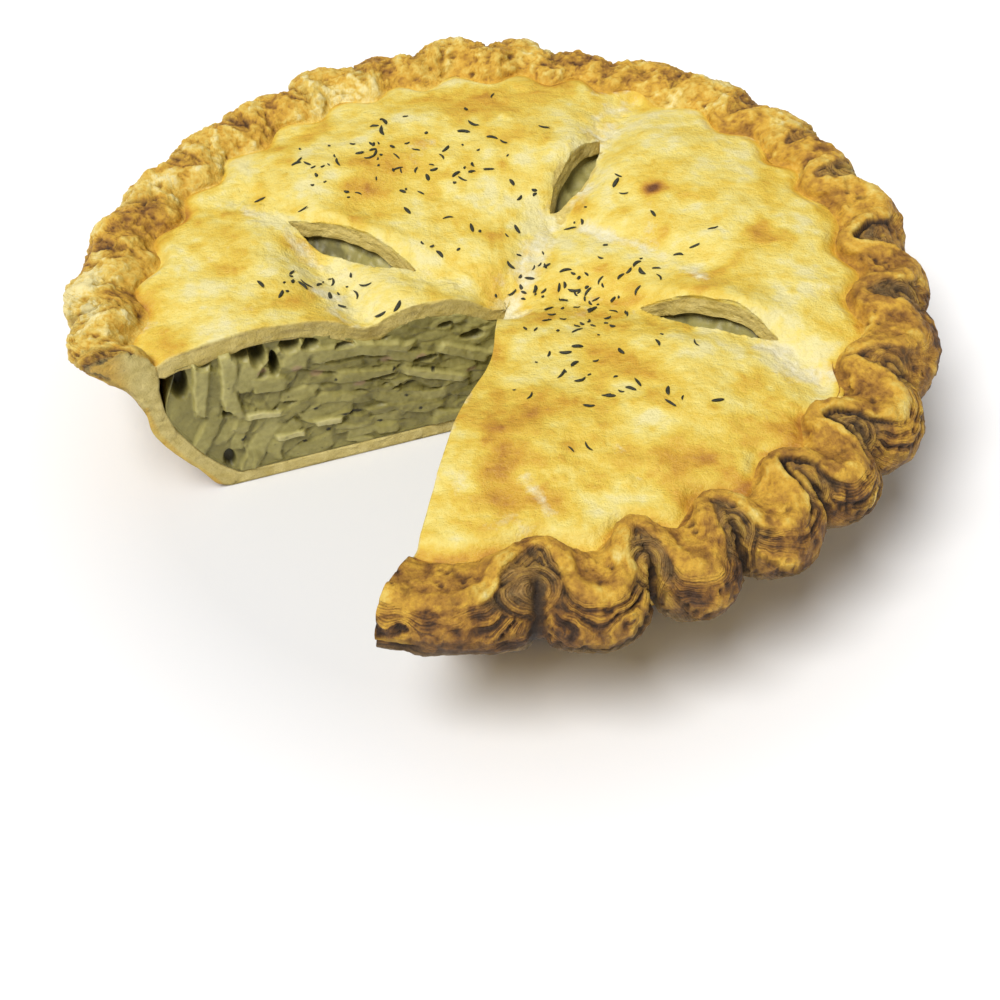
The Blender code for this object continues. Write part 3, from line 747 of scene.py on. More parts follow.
class Nodes:
    """Short ways to add nodes to a material."""

    def __init__(self, name):
        self.material = bpy.data.materials.new(name)
        self.material.use_nodes = True
        self.tree = self.material.node_tree
        self.shader = self.tree.nodes["Principled BSDF"]

    def node(self, kind, **settings):
        made = self.tree.nodes.new(kind)
        for key, value in settings.items():
            setattr(made, key, value)
        return made

    def link(self, source, target):
        if isinstance(source, (int, float)):
            target.default_value = source
        elif isinstance(source, tuple):
            target.default_value = source if len(source) == len(target.default_value) else (*source, 1.0)
        else:
            self.tree.links.new(source, target)

    def place(self):
        return self.node("ShaderNodeTexCoord").outputs["Object"]

    def named(self, name):
        return self.node("ShaderNodeAttribute", attribute_name=name).outputs["Fac"]

    def noise(self, per_metre, detail=4.0, rough=0.55, place=None, distortion=0.0):
        made = self.node("ShaderNodeTexNoise")
        made.inputs["Scale"].default_value = per_metre
        made.inputs["Detail"].default_value = detail
        made.inputs["Roughness"].default_value = rough
        made.inputs["Distortion"].default_value = distortion
        self.link(place or self.place(), made.inputs["Vector"])
        return made.outputs["Fac"]

    def stretch(self, scale, turn=(0.0, 0.0, 0.0)):
        made = self.node("ShaderNodeMapping")
        made.inputs["Scale"].default_value = scale
        made.inputs["Rotation"].default_value = turn
        self.link(self.place(), made.inputs["Vector"])
        return made.outputs["Vector"]

    def math(self, operation, a, b=0.0, c=0.0, clamp=False):
        made = self.node("ShaderNodeMath", operation=operation, use_clamp=clamp)
        for value, target in zip((a, b, c), made.inputs):
            self.link(value, target)
        return made.outputs[0]

    def ramp(self, value, *stops):
        made = self.node("ShaderNodeValToRGB")
        ramp = made.color_ramp
        while len(ramp.elements) < len(stops):
            ramp.elements.new(0.5)
        for element, (at, colour) in zip(ramp.elements, stops):
            element.position = at
            element.color = (*colour, 1.0) if isinstance(colour, tuple) else (colour, colour, colour, 1.0)
        self.link(value, made.inputs["Fac"])
        return made.outputs["Color"]

    def blend(self, share, a, b, how="MIX"):
        made = self.node("ShaderNodeMix", data_type="RGBA", blend_type=how, clamp_factor=True)
        self.link(share, made.inputs[0])
        self.link(a, made.inputs[6])
        self.link(b, made.inputs[7])
        return made.outputs[2]

    def bump(self, height, distance, strength=1.0, after=None):
        made = self.node("ShaderNodeBump")
        made.inputs["Strength"].default_value = strength
        made.inputs["Distance"].default_value = distance
        self.link(height, made.inputs["Height"])
        if after is not None:
            self.link(after, made.inputs["Normal"])
        return made.outputs["Normal"]

    def finish(self, colour, rough, normal=None, gloss=0.5, depth=0.0, depth_colour=None):
        self.link(colour, self.shader.inputs["Base Color"])
        self.link(rough, self.shader.inputs["Roughness"])
        self.shader.inputs["Specular IOR Level"].default_value = gloss
        if depth:
            self.shader.inputs["Subsurface Weight"].default_value = depth
            self.shader.inputs["Subsurface Radius"].default_value = depth_colour
            self.shader.inputs["Subsurface Scale"].default_value = 0.003
        if normal is not None:
            self.link(normal, self.shader.inputs["Normal"])
        return self.material


def crust_material():
    n = Nodes("golden_crust")
    fine = n.noise(900.0, 5.0, 0.6)
    mid = n.noise(260.0, 4.0, 0.6)
    bake_and_shade = n.math("ADD", n.named("bake_and_shade"), n.math("MULTIPLY", n.math("SUBTRACT", mid, 0.5), 0.50))
    bake_and_shade = n.math("ADD", bake_and_shade, n.math("MULTIPLY", n.math("SUBTRACT", fine, 0.5), 0.40), clamp=True)
    # the layer lines are painted shade in the grooves between the layers
    lines = n.math("FRACT", n.math("MULTIPLY_ADD", n.named("layers"), 2.0, n.math("MULTIPLY", mid, 0.7)))
    lines = n.ramp(lines, (0.0, 1.0), (0.16, 0.0), (0.84, 0.0), (1.0, 1.0))
    hair = n.math("FRACT", n.math("MULTIPLY_ADD", n.named("layers"), 4.0, n.math("MULTIPLY", mid, 1.2)))
    hair = n.ramp(hair, (0.0, 1.0), (0.3, 0.0), (0.7, 0.0), (1.0, 1.0))
    lines = n.math("ADD", lines, n.math("MULTIPLY", hair, 0.35), clamp=True)
    broken = n.ramp(n.noise(240.0, 3.0, 0.6), (0.36, 0.15), (0.58, 1.0))
    lines = n.math("MULTIPLY", n.math("MULTIPLY", lines, broken), n.named("layered"))
    bake_and_shade = n.math("ADD", bake_and_shade, n.math("MULTIPLY", lines, 0.18), clamp=True)
    gold = n.ramp(bake_and_shade, (0.0, (0.92, 0.79, 0.37)), (0.22, (0.80, 0.57, 0.120)), (0.42, (0.70, 0.40, 0.044)),
                  (0.62, (0.45, 0.225, 0.030)), (0.82, (0.22, 0.095, 0.018)), (1.0, (0.07, 0.032, 0.014)))
    greys = n.ramp(n.noise(420.0, 4.0, 0.65), (0.3, (0.13, 0.080, 0.028)), (0.55, (0.30, 0.19, 0.065)),
                   (0.75, (0.52, 0.37, 0.15)))
    # painted shade in the notches and under the rim, with the real grey streaks
    colour = n.blend(n.named("grey_and_shade"), gold, greys)
    # painted shade: the layer lines darken the colour
    colour = n.blend(n.math("MULTIPLY", lines, 0.36), colour, (0.085, 0.042, 0.016))
    # painted shade in the cracks, creases, pits and hollows of the rim, and along the foot of the cut faces
    colour = n.blend(n.named("dark"), colour, (0.030, 0.017, 0.009))
    cream = n.ramp(n.noise(300.0, 4.0, 0.6), (0.3, (0.58, 0.45, 0.13)), (0.7, (0.82, 0.68, 0.27)))
    colour = n.blend(n.named("dough"), colour, cream)
    specks = n.ramp(n.noise(1500.0, 2.0, 0.5), (0.66, 0.0), (0.74, 1.0))
    colour = n.blend(n.math("MULTIPLY", specks, 0.30), colour, (0.25, 0.13, 0.05))
    normal = n.bump(n.noise(1200.0, 6.0, 0.75), 0.0009, 0.6)
    normal = n.bump(n.noise(400.0, 6.0, 0.7), 0.0018, 0.55, normal)
    normal = n.bump(n.math("MULTIPLY", lines, -1.0), 0.0012, 0.6, normal)
    rough = n.math("MULTIPLY_ADD", fine, 0.25, 0.45)
    return n.finish(colour, rough, normal, 0.35)


def lid_material():
    n = Nodes("glazed_lid")
    soft = n.noise(75.0, 5.0, 0.6)
    streaks = n.noise(170.0, 5.0, 0.65, n.stretch((0.35, 1.0, 1.0), (0.0, 0.0, 0.5)))
    fine = n.noise(650.0, 5.0, 0.65)
    tone = n.math("ADD", n.named("toast"), n.math("MULTIPLY", n.math("SUBTRACT", soft, 0.5), 0.45))
    tone = n.math("ADD", tone, n.math("MULTIPLY", n.math("SUBTRACT", streaks, 0.5), 0.40))
    tone = n.math("ADD", tone, n.math("MULTIPLY", n.math("SUBTRACT", fine, 0.5), 0.22), clamp=True)
    gold = n.ramp(tone, (0.0, (0.80, 0.71, 0.32)), (0.16, (0.81, 0.66, 0.17)), (0.34, (0.75, 0.53, 0.068)),
                  (0.54, (0.64, 0.365, 0.034)), (0.74, (0.45, 0.20, 0.024)), (1.0, (0.15, 0.05, 0.012)))
    torn = n.noise(420.0, 6.0, 0.75)
    pale = n.math("ADD", n.named("pale"), n.math("MULTIPLY", n.math("SUBTRACT", torn, 0.5), 0.9), clamp=True)
    flour = n.ramp(n.noise(520.0, 5.0, 0.65), (0.3, (0.72, 0.63, 0.30)), (0.7, (0.82, 0.77, 0.54)))
    colour = n.blend(n.ramp(pale, (0.30, 0.0), (0.75, 1.0)), gold, flour)
    cream = n.ramp(n.noise(260.0, 4.0, 0.6), (0.3, (0.55, 0.41, 0.090)), (0.7, (0.78, 0.63, 0.22)))
    colour = n.blend(n.named("dough"), colour, cream)
    colour = n.blend(n.named("dark"), colour, (0.16, 0.09, 0.03))
    normal = n.bump(n.noise(1300.0, 5.0, 0.7), 0.0005, 0.45)
    normal = n.bump(n.noise(300.0, 6.0, 0.7), 0.0020, 0.55, normal)
    normal = n.bump(streaks, 0.0018, 0.40, normal)
    rough = n.math("MULTIPLY_ADD", n.named("pale"), 0.30, 0.34)
    return n.finish(colour, rough, normal, 0.45)


def filling_material():
    n = Nodes("potato_filling")
    fine = n.noise(800.0, 5.0, 0.6)
    mid = n.noise(220.0, 4.0, 0.55)
    tint = n.math("ADD", n.named("tint"), n.math("MULTIPLY", n.math("SUBTRACT", mid, 0.5), 0.22))
    tint = n.math("ADD", tint, n.math("MULTIPLY", n.math("SUBTRACT", fine, 0.5), 0.12), clamp=True)
    body = n.ramp(tint, (0.0, (0.06, 0.052, 0.018)), (0.25, (0.19, 0.165, 0.05)), (0.5, (0.33, 0.29, 0.09)),
                  (0.75, (0.47, 0.42, 0.155)), (1.0, (0.68, 0.61, 0.30)))
    colour = n.blend(n.named("blush"), body, (0.42, 0.27, 0.17))
    colour = n.blend(n.named("dark"), colour, (0.030, 0.027, 0.016))
    normal = n.bump(n.noise(900.0, 5.0, 0.6), 0.0004, 0.3)
    return n.finish(colour, 0.42, normal, 0.3, 0.15, (1.0, 0.8, 0.4))


def leaf_material():
    n = Nodes("dried_thyme")
    colour = n.ramp(n.noise(1200.0, 3.0, 0.6), (0.3, (0.012, 0.014, 0.009)), (0.7, (0.055, 0.055, 0.032)))
    normal = n.bump(n.noise(3000.0, 3.0, 0.6), 0.0002, 0.6)
    return n.finish(colour, 0.6, normal, 0.3)


# The lid

def lid_top(x, y):
    """The lid's top with its folds, blisters and small cracks."""
    p = stack(x, y)
    height = lid_base(x, y)
    height = height + fbm(p, 26.0, 101, 3) * 1.9 + fbm(p, 10.0, 103, 3) * 0.75 + fbm(p, 3.2, 105, 3) * 0.16
    crease = np.zeros(np.shape(x))
    for path, _, _ in CREASES[:4]:
        crease = np.maximum(crease, hill(path_distance(x, y, path), 0.0, 7.0))
    for path, reach, strength in PALE_LINES:
        crease = np.maximum(crease, hill(path_distance(x, y, path), 0.0, reach) * strength)
    # torn, flaky layers near the folds, with small sharp steps
    steps = fbm(p * (1.0, 0.55), 7.0, 107, 4) * 4.0
    step = np.floor(steps) + smooth(steps % 1.0, 0.80, 1.0)
    height = height + crease * step * 0.42
    height = height + crease * (smooth(fbm(p, 2.6, 108, 3), 0.0, 0.3) - 0.5) * 0.4
    blister = smooth(noise(p, 6.5, 109), 0.62, 0.92) * 0.55
    return height + blister


def lid_edge_fade(radius, angle):
    """The lid's edge dips under the rim's inner roll."""
    return smooth(radius, inner_radius(angle) - 5.0, inner_radius(angle) + 0.5)


def lid_surface(angle, radius):
    x, y = plan_point(angle, radius)
    fade = lid_edge_fade(radius, angle)
    return x, y, mix(lid_top(x, y), SEAM_HEIGHT - 1.0, fade)


def lid_thickness(x, y):
    """The cut edge at the left is thicker than the rest, and lumpy below."""
    p = np.stack([np.ravel(x), np.ravel(y)], axis=1)
    depth = cut_depth(p, -1).reshape(np.shape(x))
    return LID_THICKNESS + 1.2 * hill(depth, 0.0, 8.0)


def slit_cutter(slit):
    """A closed tube that cuts one slit, its side layered like torn dough."""
    middle, direction, length, width = slit
    turn = math.radians(direction)
    share = np.linspace(0.0, 2.0 * np.pi, 120, endpoint=False)
    flip = -1.0 if math.cos(turn) < 0.0 else 1.0
    rows = []
    levels = np.linspace(-3.5, 7.5, 26)
    for level in levels:
        along = np.cos(share) * length / 2.0
        across = np.sin(share) * np.abs(np.sin(share)) ** 0.5 * width / 2.0
        wobble = noise(np.stack([along, across, np.full_like(along, level * 4.0)], axis=1), 3.0, 121) * 0.35
        wobble = wobble + noise(np.stack([along, across, 0 * along], axis=1), 6.0, 123) * 0.6
        far = smooth(np.sin(share) * flip, 0.0, 0.4)
        across = across + np.sign(np.sin(share)) * wobble * np.abs(np.sin(share))
        across = across - flip * far * 0.30 * np.clip(LID_THICKNESS - level - 1.0, 0.0, 8.0) * 0.9
        x = middle[0] + along * math.cos(turn) - across * math.sin(turn)
        y = middle[1] + along * math.sin(turn) + across * math.cos(turn)
        z = lid_base(x, y) - LID_THICKNESS + level
        rows.append(np.stack([x, y, z], axis=1))
    points = np.concatenate(rows)
    count = len(share)
    faces = []
    for r in range(len(levels) - 1):
        for i in range(count):
            j = (i + 1) % count
            faces.append([r * count + i, r * count + j, (r + 1) * count + j, (r + 1) * count + i])
    low, high = len(points), len(points) + 1
    points = np.concatenate([points, rows[0].mean(0)[None], rows[-1].mean(0)[None]])
    for i in range(count):
        j = (i + 1) % count
        faces.append([low, j, i])
        faces.append([high, (len(levels) - 1) * count + i, (len(levels) - 1) * count + j])
    cutter = make_mesh("slit_cutter", points, faces)
    fix_normals(cutter)
    return cutter


def lid_under(x, y):
    lumps = fbm(stack(x, y), 5.0, 131, 3) * 0.9 + smooth(noise(stack(x, y), 7.0, 133), 0.1, 0.8) * -1.4
    return lid_base(x, y) - lid_thickness(x, y) + lumps * hill(cut_depth(stack(x, y), -1), 0.0, 9.0)


def build_lid(finish):
    fine = np.linspace(CUT_RIGHT, CUT_LEFT, LID_STATIONS)
    coarse = fine[::4]
    skin = Skin()

    skin.row(np.array([CUT_RIGHT]), [(*APEX, float(lid_base(*APEX)) - LID_THICKNESS)])
    for radius in np.linspace(5.0, 96.0, 44):
        skin.ring(coarse, radius, lid_under)
    edge = inner_radius(fine)
    for push, height in ((-2.0, SHELF_HEIGHT + 0.6), (0.4, SHELF_HEIGHT + 1.5), (0.9, SEAM_HEIGHT - 3.0)):
        skin.ring(fine, edge + push, height)
    for step in range(13):
        radius = mix(edge + 0.9, 96.0 + 0 * edge, step / 12.0)
        skin.row(fine, stack(*lid_surface(fine, radius)))
    for radius in np.arange(95.3, 2.0, -0.72):
        angles = fine if radius > 52 else fine[::2] if radius > 24 else fine[::4] if radius > 10 else fine[::8]
        skin.row(angles, stack(*lid_surface(angles, radius)))
    skin.row(np.array([CUT_RIGHT]), [(*APEX, float(lid_top(*APEX)))])
    for side in (0, -1):
        skin.cap(side, 0.6, lid_relief)
    piece = skin.mesh("lid")
    fix_normals(piece)
    for slit in SLITS:
        cutter = slit_cutter(slit)
        change = piece.modifiers.new("slit", "BOOLEAN")
        change.operation = "DIFFERENCE"
        change.solver = "MANIFOLD"
        change.object = cutter
        bpy.context.view_layer.update()
        graph = bpy.context.evaluated_depsgraph_get()
        made = bpy.data.meshes.new_from_object(piece.evaluated_get(graph))
        piece.modifiers.clear()
        piece.data = made
        bpy.data.objects.remove(cutter, do_unlink=True)
    colour_lid(piece)
    piece.data.materials.clear()
    piece.data.materials.append(finish)
    piece.data.shade_smooth()
    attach(piece, "root")
    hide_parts("pastry_lid")
    return piece


def lid_relief(reach, height):
    p = stack(reach, height)
    return fbm(p * (0.35, 1.0), 2.6, 141, 4) * 0.45


# Toasted patches of the lid: x, y, reach along, reach across, turn in degrees, strength
TOAST = (
    (-34, 56, 20, 12, 40, 0.26), (-45, 57, 6, 4, 0, 0.25), (-30, 70, 6, 4, 20, 0.20),
    (50, 36, 3.2, 2.4, 0, 0.75), (51, 41, 8, 6, 60, 0.30), (-80, 20, 9, 14, 70, 0.16), (2, -62, 9, 6, 30, 0.22),
    (30, -40, 12, 7, -30, 0.14), (20, -88, 12, 5, 20, 0.18), (-65, -10, 10, 4, 15, 0.20),
    (-90, 30, 8, 16, 60, 0.16), (60, 70, 16, 10, -40, 0.14), (85, 20, 10, 20, 10, 0.16),
    (-60, 76, 16, 8, 40, 0.16), (0, 96, 26, 5, 0, 0.14), (90, -10, 8, 14, 0, 0.16), (40, -75, 16, 6, -15, 0.14),
    (-8, 84, 20, 7, 10, 0.12),
)

# Paler and deeper golden patches of the lid: x, y, reach
LID_PALE = (
    (-73, 58, 9), (-80, 40, 7), (-14, -82, 9), (-17, -96, 8), (-7, -95, 9), (8, -89, 10), (25, -85, 7),
    (40, -67, 8), (15, -79, 7), (-74, 23, 9), (-67, 12, 8), (-79, -9, 7), (-49, 5, 8), (-60, 46, 8),
    (-47, 82, 9), (24, 80, 8), (38, 49, 8), (49, 75, 10), (66, 80, 8), (66, 50, 8), (61, 4, 7), (46, 5, 7),
    (89, -38, 10), (74, -36, 7), (65, -59, 8), (85, -16, 8), (33, -52, 6), (6, -27, 6), (-7, 13, 6),
    (-31, 20, 6), (-81, -26, 6), (-63, -18, 6), (32, 15, 5),
)
LID_GOLD = (
    (1, -57, 8), (-19, 51, 7), (-32, 57, 6), (-85, 26, 7), (-98, 1, 6), (-97, -18, 6), (-79, 7, 5), (-2, 86, 9),
    (29, 5, 6), (71, -1, 9), (60, -9, 7), (16, -52, 6), (32, -69, 7), (50, -77, 6), (83, 12, 7), (-8, -33, 6),
    (13, -11, 6), (-22, 89, 6), (-77, 68, 7), (-61, 73, 6), (51, 92, 6), (101, -17, 5),
)

# Pale, floury creases of the lid: the line, its reach and its strength
PALE_LINES = (
    (((3, -4), (8, 10), (14, 24)), 5.0, 0.75),
    (((14, 24), (19, 33), (28, 44)), 4.5, 0.70),
    (((33, 60), (40, 78), (46, 92)), 5.5, 0.62),
    (((20, 35), (30, 25), (38, 17), (50, 10), (60, -6)), 2.6, 0.62),
    (((78, -35), (86, -43), (96, -52)), 6.0, 0.72),
    (((60, -20), (74, -30)), 4.0, 0.45),
    (((-80, 40), (-72, 33), (-62, 26)), 4.0, 0.48),
    (((-62, 24), (-52, 12), (-44, 10)), 3.0, 0.50),
    (((-40, -16), (-46, -8), (-54, 7)), 3.5, 0.75),
    (((0, -6), (-4, -25), (-10, -52)), 2.2, 0.55),
    (((-12, -54), (-20, -84), (-26, -104)), 2.5, 0.50),
    (((6, -84), (12, -94)), 2.4, 0.50),
    (((30, -72), (37, -84)), 2.4, 0.48),
    (((3, -4), (-12, 4), (-23, 9)), 3.0, 0.45),
    (((20, 0), (42, -12)), 3.0, 0.35),
)


def colour_lid(piece):
    p = positions(piece)
    x, y, z = p.T
    plan = p[:, :2]
    radius = np.hypot(x, y)
    swept = np.stack([np.degrees(np.arctan2(y, x)) * 1.2, radius * 0.35], axis=1)
    toast = 0.285 + fbm(plan, 34.0, 151, 3) * 0.22 + fbm(plan, 13.0, 153, 3) * 0.30 + fbm(plan, 4.5, 154, 4) * 0.28
    toast = toast + fbm(swept, 5.0, 156, 3) * 0.10
    for patches, change, seed in ((LID_PALE, -0.14, 162), (LID_GOLD, 0.13, 163)):
        ragged = fbm(plan, 6.0, seed, 3) * 0.9
        for cx, cy, reach in patches:
            spread = np.hypot(x - cx, y - cy) / reach + ragged
            toast = toast + change * np.exp(-np.maximum(spread, 0.0) ** 2)
    ripple = fbm(plan, 8.0, 155, 3) * 0.25
    for cx, cy, along, across, turn, strength in TOAST:
        u, v = turned(x - cx, y - cy, math.radians(turn))
        spread = np.hypot(u / along, v / across) + ripple
        toast = toast + strength * 0.9 * np.exp(-np.maximum(spread, 0.0) ** 2)
    pale = np.zeros(len(p))
    for path, reach, strength in PALE_LINES:
        distance = path_distance(x, y, path) + fbm(plan, 7.0, 157, 3) * reach * 0.45
        pale = np.maximum(pale, strength * hill(np.maximum(distance, 0.0), 0.0, reach * 1.3))
    pale = pale * (0.80 + 1.4 * fbm(plan, 5.0, 158, 4))
    pale = np.maximum(pale, 0.42 * smooth(fbm(plan, 12.0, 159, 4), 0.0, 0.6))
    base = lid_base(x, y)
    below = base - z
    dough = np.zeros(len(p))
    for slit in SLITS:
        along, across = slit_frame(x, y, slit)
        near = (np.abs(along) < 1.08) & (np.abs(across) < slit[3] / 2.0 + 1.2)
        dough = np.where(near & (below > 0.9), 1.0, dough)
    for facing, depth in cut_facing(piece):
        dough = np.where((np.abs(depth) < 1.4) & (facing > 0.5), smooth(below, -0.4, 0.9), dough)
        dough = np.where((np.abs(depth) < 12.0) & (below > 3.0), 1.0, dough)
    layers = noise(np.stack([x * 0.15, y * 0.15, below], axis=1), 0.9, 161)
    dark = dough * smooth(layers, 0.35, 0.8) * 0.35
    seam = smooth(radius, inner_radius(polar(p)) - 3.0, inner_radius(polar(p)) - 0.3)
    toast = toast + 0.22 * seam + 0.09 * smooth(y, -45.0, -85.0) - 0.06 * smooth(y, -60.0, 10.0)
    toast = toast - 0.10 * smooth(fbm(plan, 10.0, 103, 3), 0.0, 0.5)
    toast = toast + 0.12 * smooth(fbm(plan, 3.2, 105, 3), 0.15, 0.6)
    for name, values in (("toast", toast), ("pale", pale), ("dough", dough), ("dark", dark)):
        attribute(piece, name, np.clip(values, 0.0, 1.0))


# Thyme leaves

LONE_LEAVES = (
    (-72, 42), (-58, 34), (-7, 82), (2, 90), (18, 70), (24, 28), (40, 44), (41, 36), (39, 41), (66, 15),
    (60, 9), (55, 7), (48, 2), (42, -6), (8, -52), (24, -57), (46, -54), (46, -59), (59, -58), (23, -73),
    (18, -74), (-69, -1), (-34, -9), (-29, -8), (-56, 2),
)
LEAF_CLUSTERS = (
    ((-28, 58), 17.0, 11.0, 66), ((-52, 2), 9.0, 5.0, 18), ((24, -8), 13.0, 15.0, 84),
    ((30, -47), 16.0, 8.0, 14), ((-6, 30), 14.0, 12.0, 14),
)


def leaf_spots():
    draw = np.random.default_rng(23)
    found = [(x, y, draw.uniform(2.6, 4.6)) for x, y in LONE_LEAVES]
    for (cx, cy), wide, deep, count in LEAF_CLUSTERS:
        placed = 0
        while placed < count:
            x, y = draw.normal(cx, wide), draw.normal(cy, deep)
            angle = math.degrees(math.atan2(y - APEX[1], x - APEX[0]))
            missing = CUT_LEFT - 360.0 - 3.0 < angle < CUT_RIGHT + 3.0
            on_slit = False
            for slit in SLITS:
                along, across = slit_frame(x, y, slit)
                on_slit = on_slit or (abs(along) < 1.1 and abs(across) < slit[3] / 2.0 + 2.0)
            if missing or on_slit or math.hypot(x, y) > 94.0:
                continue
            found.append((x, y, 0.9 + 3.6 * draw.uniform(0.0, 1.0) ** 1.6))
            placed += 1
    return found


def build_leaves(finish, lid):
    draw = np.random.default_rng(29)
    points, faces = [], []
    sides, steps = 6, 9
    for x, y, length in leaf_spots():
        heading = draw.uniform(0.0, 2 * math.pi)
        hit, spot, up, _ = lid.ray_cast(Vector((x, y, 100.0)) * MM, Vector((0.0, 0.0, -1.0)))
        if not hit:
            continue
        spot = np.array(spot) / MM
        up = np.array(up)
        ahead = np.array((math.cos(heading), math.sin(heading), 0.0))
        ahead = ahead - up * (ahead @ up)
        ahead /= np.linalg.norm(ahead)
        side = np.cross(up, ahead)
        curl, wave = draw.uniform(-0.35, 0.35), draw.uniform(0.0, 0.25)
        wide = draw.uniform(0.24, 0.62) * (0.6 + length / 8.0)
        lift = draw.uniform(0.0, 0.5)
        share = np.linspace(-1.0, 1.0, steps)
        start = len(points)
        for s in share:
            girth = wide * (1.0 - abs(s) ** 2.4) ** 0.7 + 0.05
            middle = spot + ahead * s * length / 2.0 + side * curl * (1 - s * s) * length / 2.0
            middle = middle + up * (0.22 + lift * max(0.0, s) ** 2 + wave * math.sin(s * 5.0) * 0.3)
            for i in range(sides):
                t = 2 * math.pi * i / sides
                points.append(middle + side * math.cos(t) * girth + up * math.sin(t) * girth * 0.55)
        for r in range(steps - 1):
            for i in range(sides):
                j = (i + 1) % sides
                a = start + r * sides
                faces.append([a + i, a + j, a + sides + j, a + sides + i])
        faces.append([start + i for i in range(sides)][::-1])
        faces.append([start + (steps - 1) * sides + i for i in range(sides)])
    piece = make_mesh("thyme_leaves", np.array(points), faces)
    fix_normals(piece)
    piece.data.materials.append(finish)
    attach(piece, "root")
    return piece


# The filling

def slices_at_cut(seed, pieces):
    """The pieces that show at a cut face: reach, height, half length, half thickness, tilt, stand, tint."""
    draw = np.random.default_rng(seed)
    found = []
    for _ in range(pieces):
        reach = draw.uniform(2.0, 90.0)
        height = draw.uniform(6.0, 50.0)
        steep = smooth(reach, 60.0, 80.0)
        tilt = mix(draw.normal(4.0, 12.0), draw.normal(-68.0, 12.0), steep)
        found.append((reach, height, draw.uniform(3.5, 10.0), draw.uniform(1.3, 3.4), tilt, draw.uniform(-0.4, 0.5),
                      draw.uniform(0.36, 0.62), draw.uniform(-0.3, 0.3), draw.uniform(-0.05, 0.05)))
    return found


BATONS = (
    (93.5, 42.5, 12.5, 2.9, -83, 1.3, 0.66, 0.1, 0.006), (90.0, 39.0, 9.5, 2.4, -78, 0.3, 0.36, -0.1, 0.0),
    (85.4, 41.5, 14.5, 3.0, -86, 1.5, 0.72, 0.1, 0.006), (79.0, 44.0, 8.5, 3.4, -60, 0.9, 0.62, 0.0, 0.01),
    (73.5, 38.5, 6.0, 3.6, 8, 1.1, 0.60, 0.1, 0.01), (76.5, 27.0, 6.5, 1.5, 6, 1.2, 0.86, 0.2, 0.0),
    (64.0, 47.0, 5.5, 4.4, -70, 0.8, 0.60, 0.0, 0.0), (51.5, 44.8, 9.0, 3.4, 6, 1.1, 0.58, 0.2, 0.01),
    (39.0, 42.0, 10.0, 3.0, 18, 1.3, 0.64, 0.2, 0.0), (57.5, 17.5, 5.0, 1.5, 8, 1.0, 0.90, 0.1, 0.0),
    (70.3, 15.7, 5.5, 1.6, 4, 0.9, 0.84, 0.1, 0.0), (24.0, 27.0, 12.0, 1.8, 26, 1.2, 0.74, 0.2, 0.0),
    (14.0, 33.0, 10.0, 2.4, 30, 0.9, 0.62, 0.2, 0.0), (45.0, 33.0, 11.0, 2.8, 12, 0.8, 0.55, 0.2, 0.0),
    (30.0, 36.0, 9.0, 2.4, 22, 0.6, 0.52, 0.1, 0.0), (94.5, 24.0, 11.0, 3.0, -58, 0.2, 0.50, 0.1, 0.0),
)

# Holes at the left cut: reach, height, half width, half height, depth
HOLES = (
    (99.5, 47.0, 2.6, 6.5, 7.0), (91.2, 53.0, 2.2, 3.0, 6.0), (79.5, 53.0, 3.0, 3.2, 7.0),
    (75.5, 50.5, 2.4, 4.6, 7.0), (71.4, 46.0, 1.6, 4.5, 7.0), (66.0, 51.5, 3.0, 2.6, 6.0),
    (60.0, 50.0, 2.6, 1.6, 4.0), (26.0, 34.0, 3.6, 1.1, 3.5), (11.5, 38.8, 3.4, 1.6, 5.0),
    (87.5, 30.0, 1.4, 1.4, 2.5), (40.0, 30.5, 4.5, 0.8, 2.5), (50.0, 47.0, 3.0, 0.9, 3.0),
    (89.5, 11.0, 1.8, 3.6, 3.0), (19.0, 45.0, 2.5, 1.2, 3.0), (33.0, 24.5, 4.0, 0.6, 1.6),
)
HERBS_AT_CUT = (
    (50.4, 18.6, 3.6, 0.55, 12), (58.3, 13.4, 0.8, 0.6, 0), (84.2, 18.2, 0.9, 0.7, 0),
    (61.2, 23.9, 0.7, 0.6, 0), (54.1, 34.2, 0.5, 0.5, 0), (33.0, 20.4, 0.8, 0.5, 30), (24.0, 29.0, 0.7, 0.6, 0),
    (42.0, 12.0, 1.0, 0.5, 10), (66.0, 11.0, 0.7, 0.5, 0), (36.0, 33.0, 0.6, 0.6, 0), (29.0, 14.0, 0.6, 0.6, 0),
    (70.0, 29.0, 0.5, 0.5, 0),
)
BLUSH = (
    (75.4, 43.8, 1.6, 1.2), (65.2, 42.0, 1.6, 1.5), (27.5, 35.5, 1.6, 1.2), (59.0, 38.0, 2.2, 1.0),
    (47.0, 30.0, 2.0, 1.0), (38.0, 37.0, 2.0, 1.2), (12.0, 25.0, 2.0, 1.0),
)


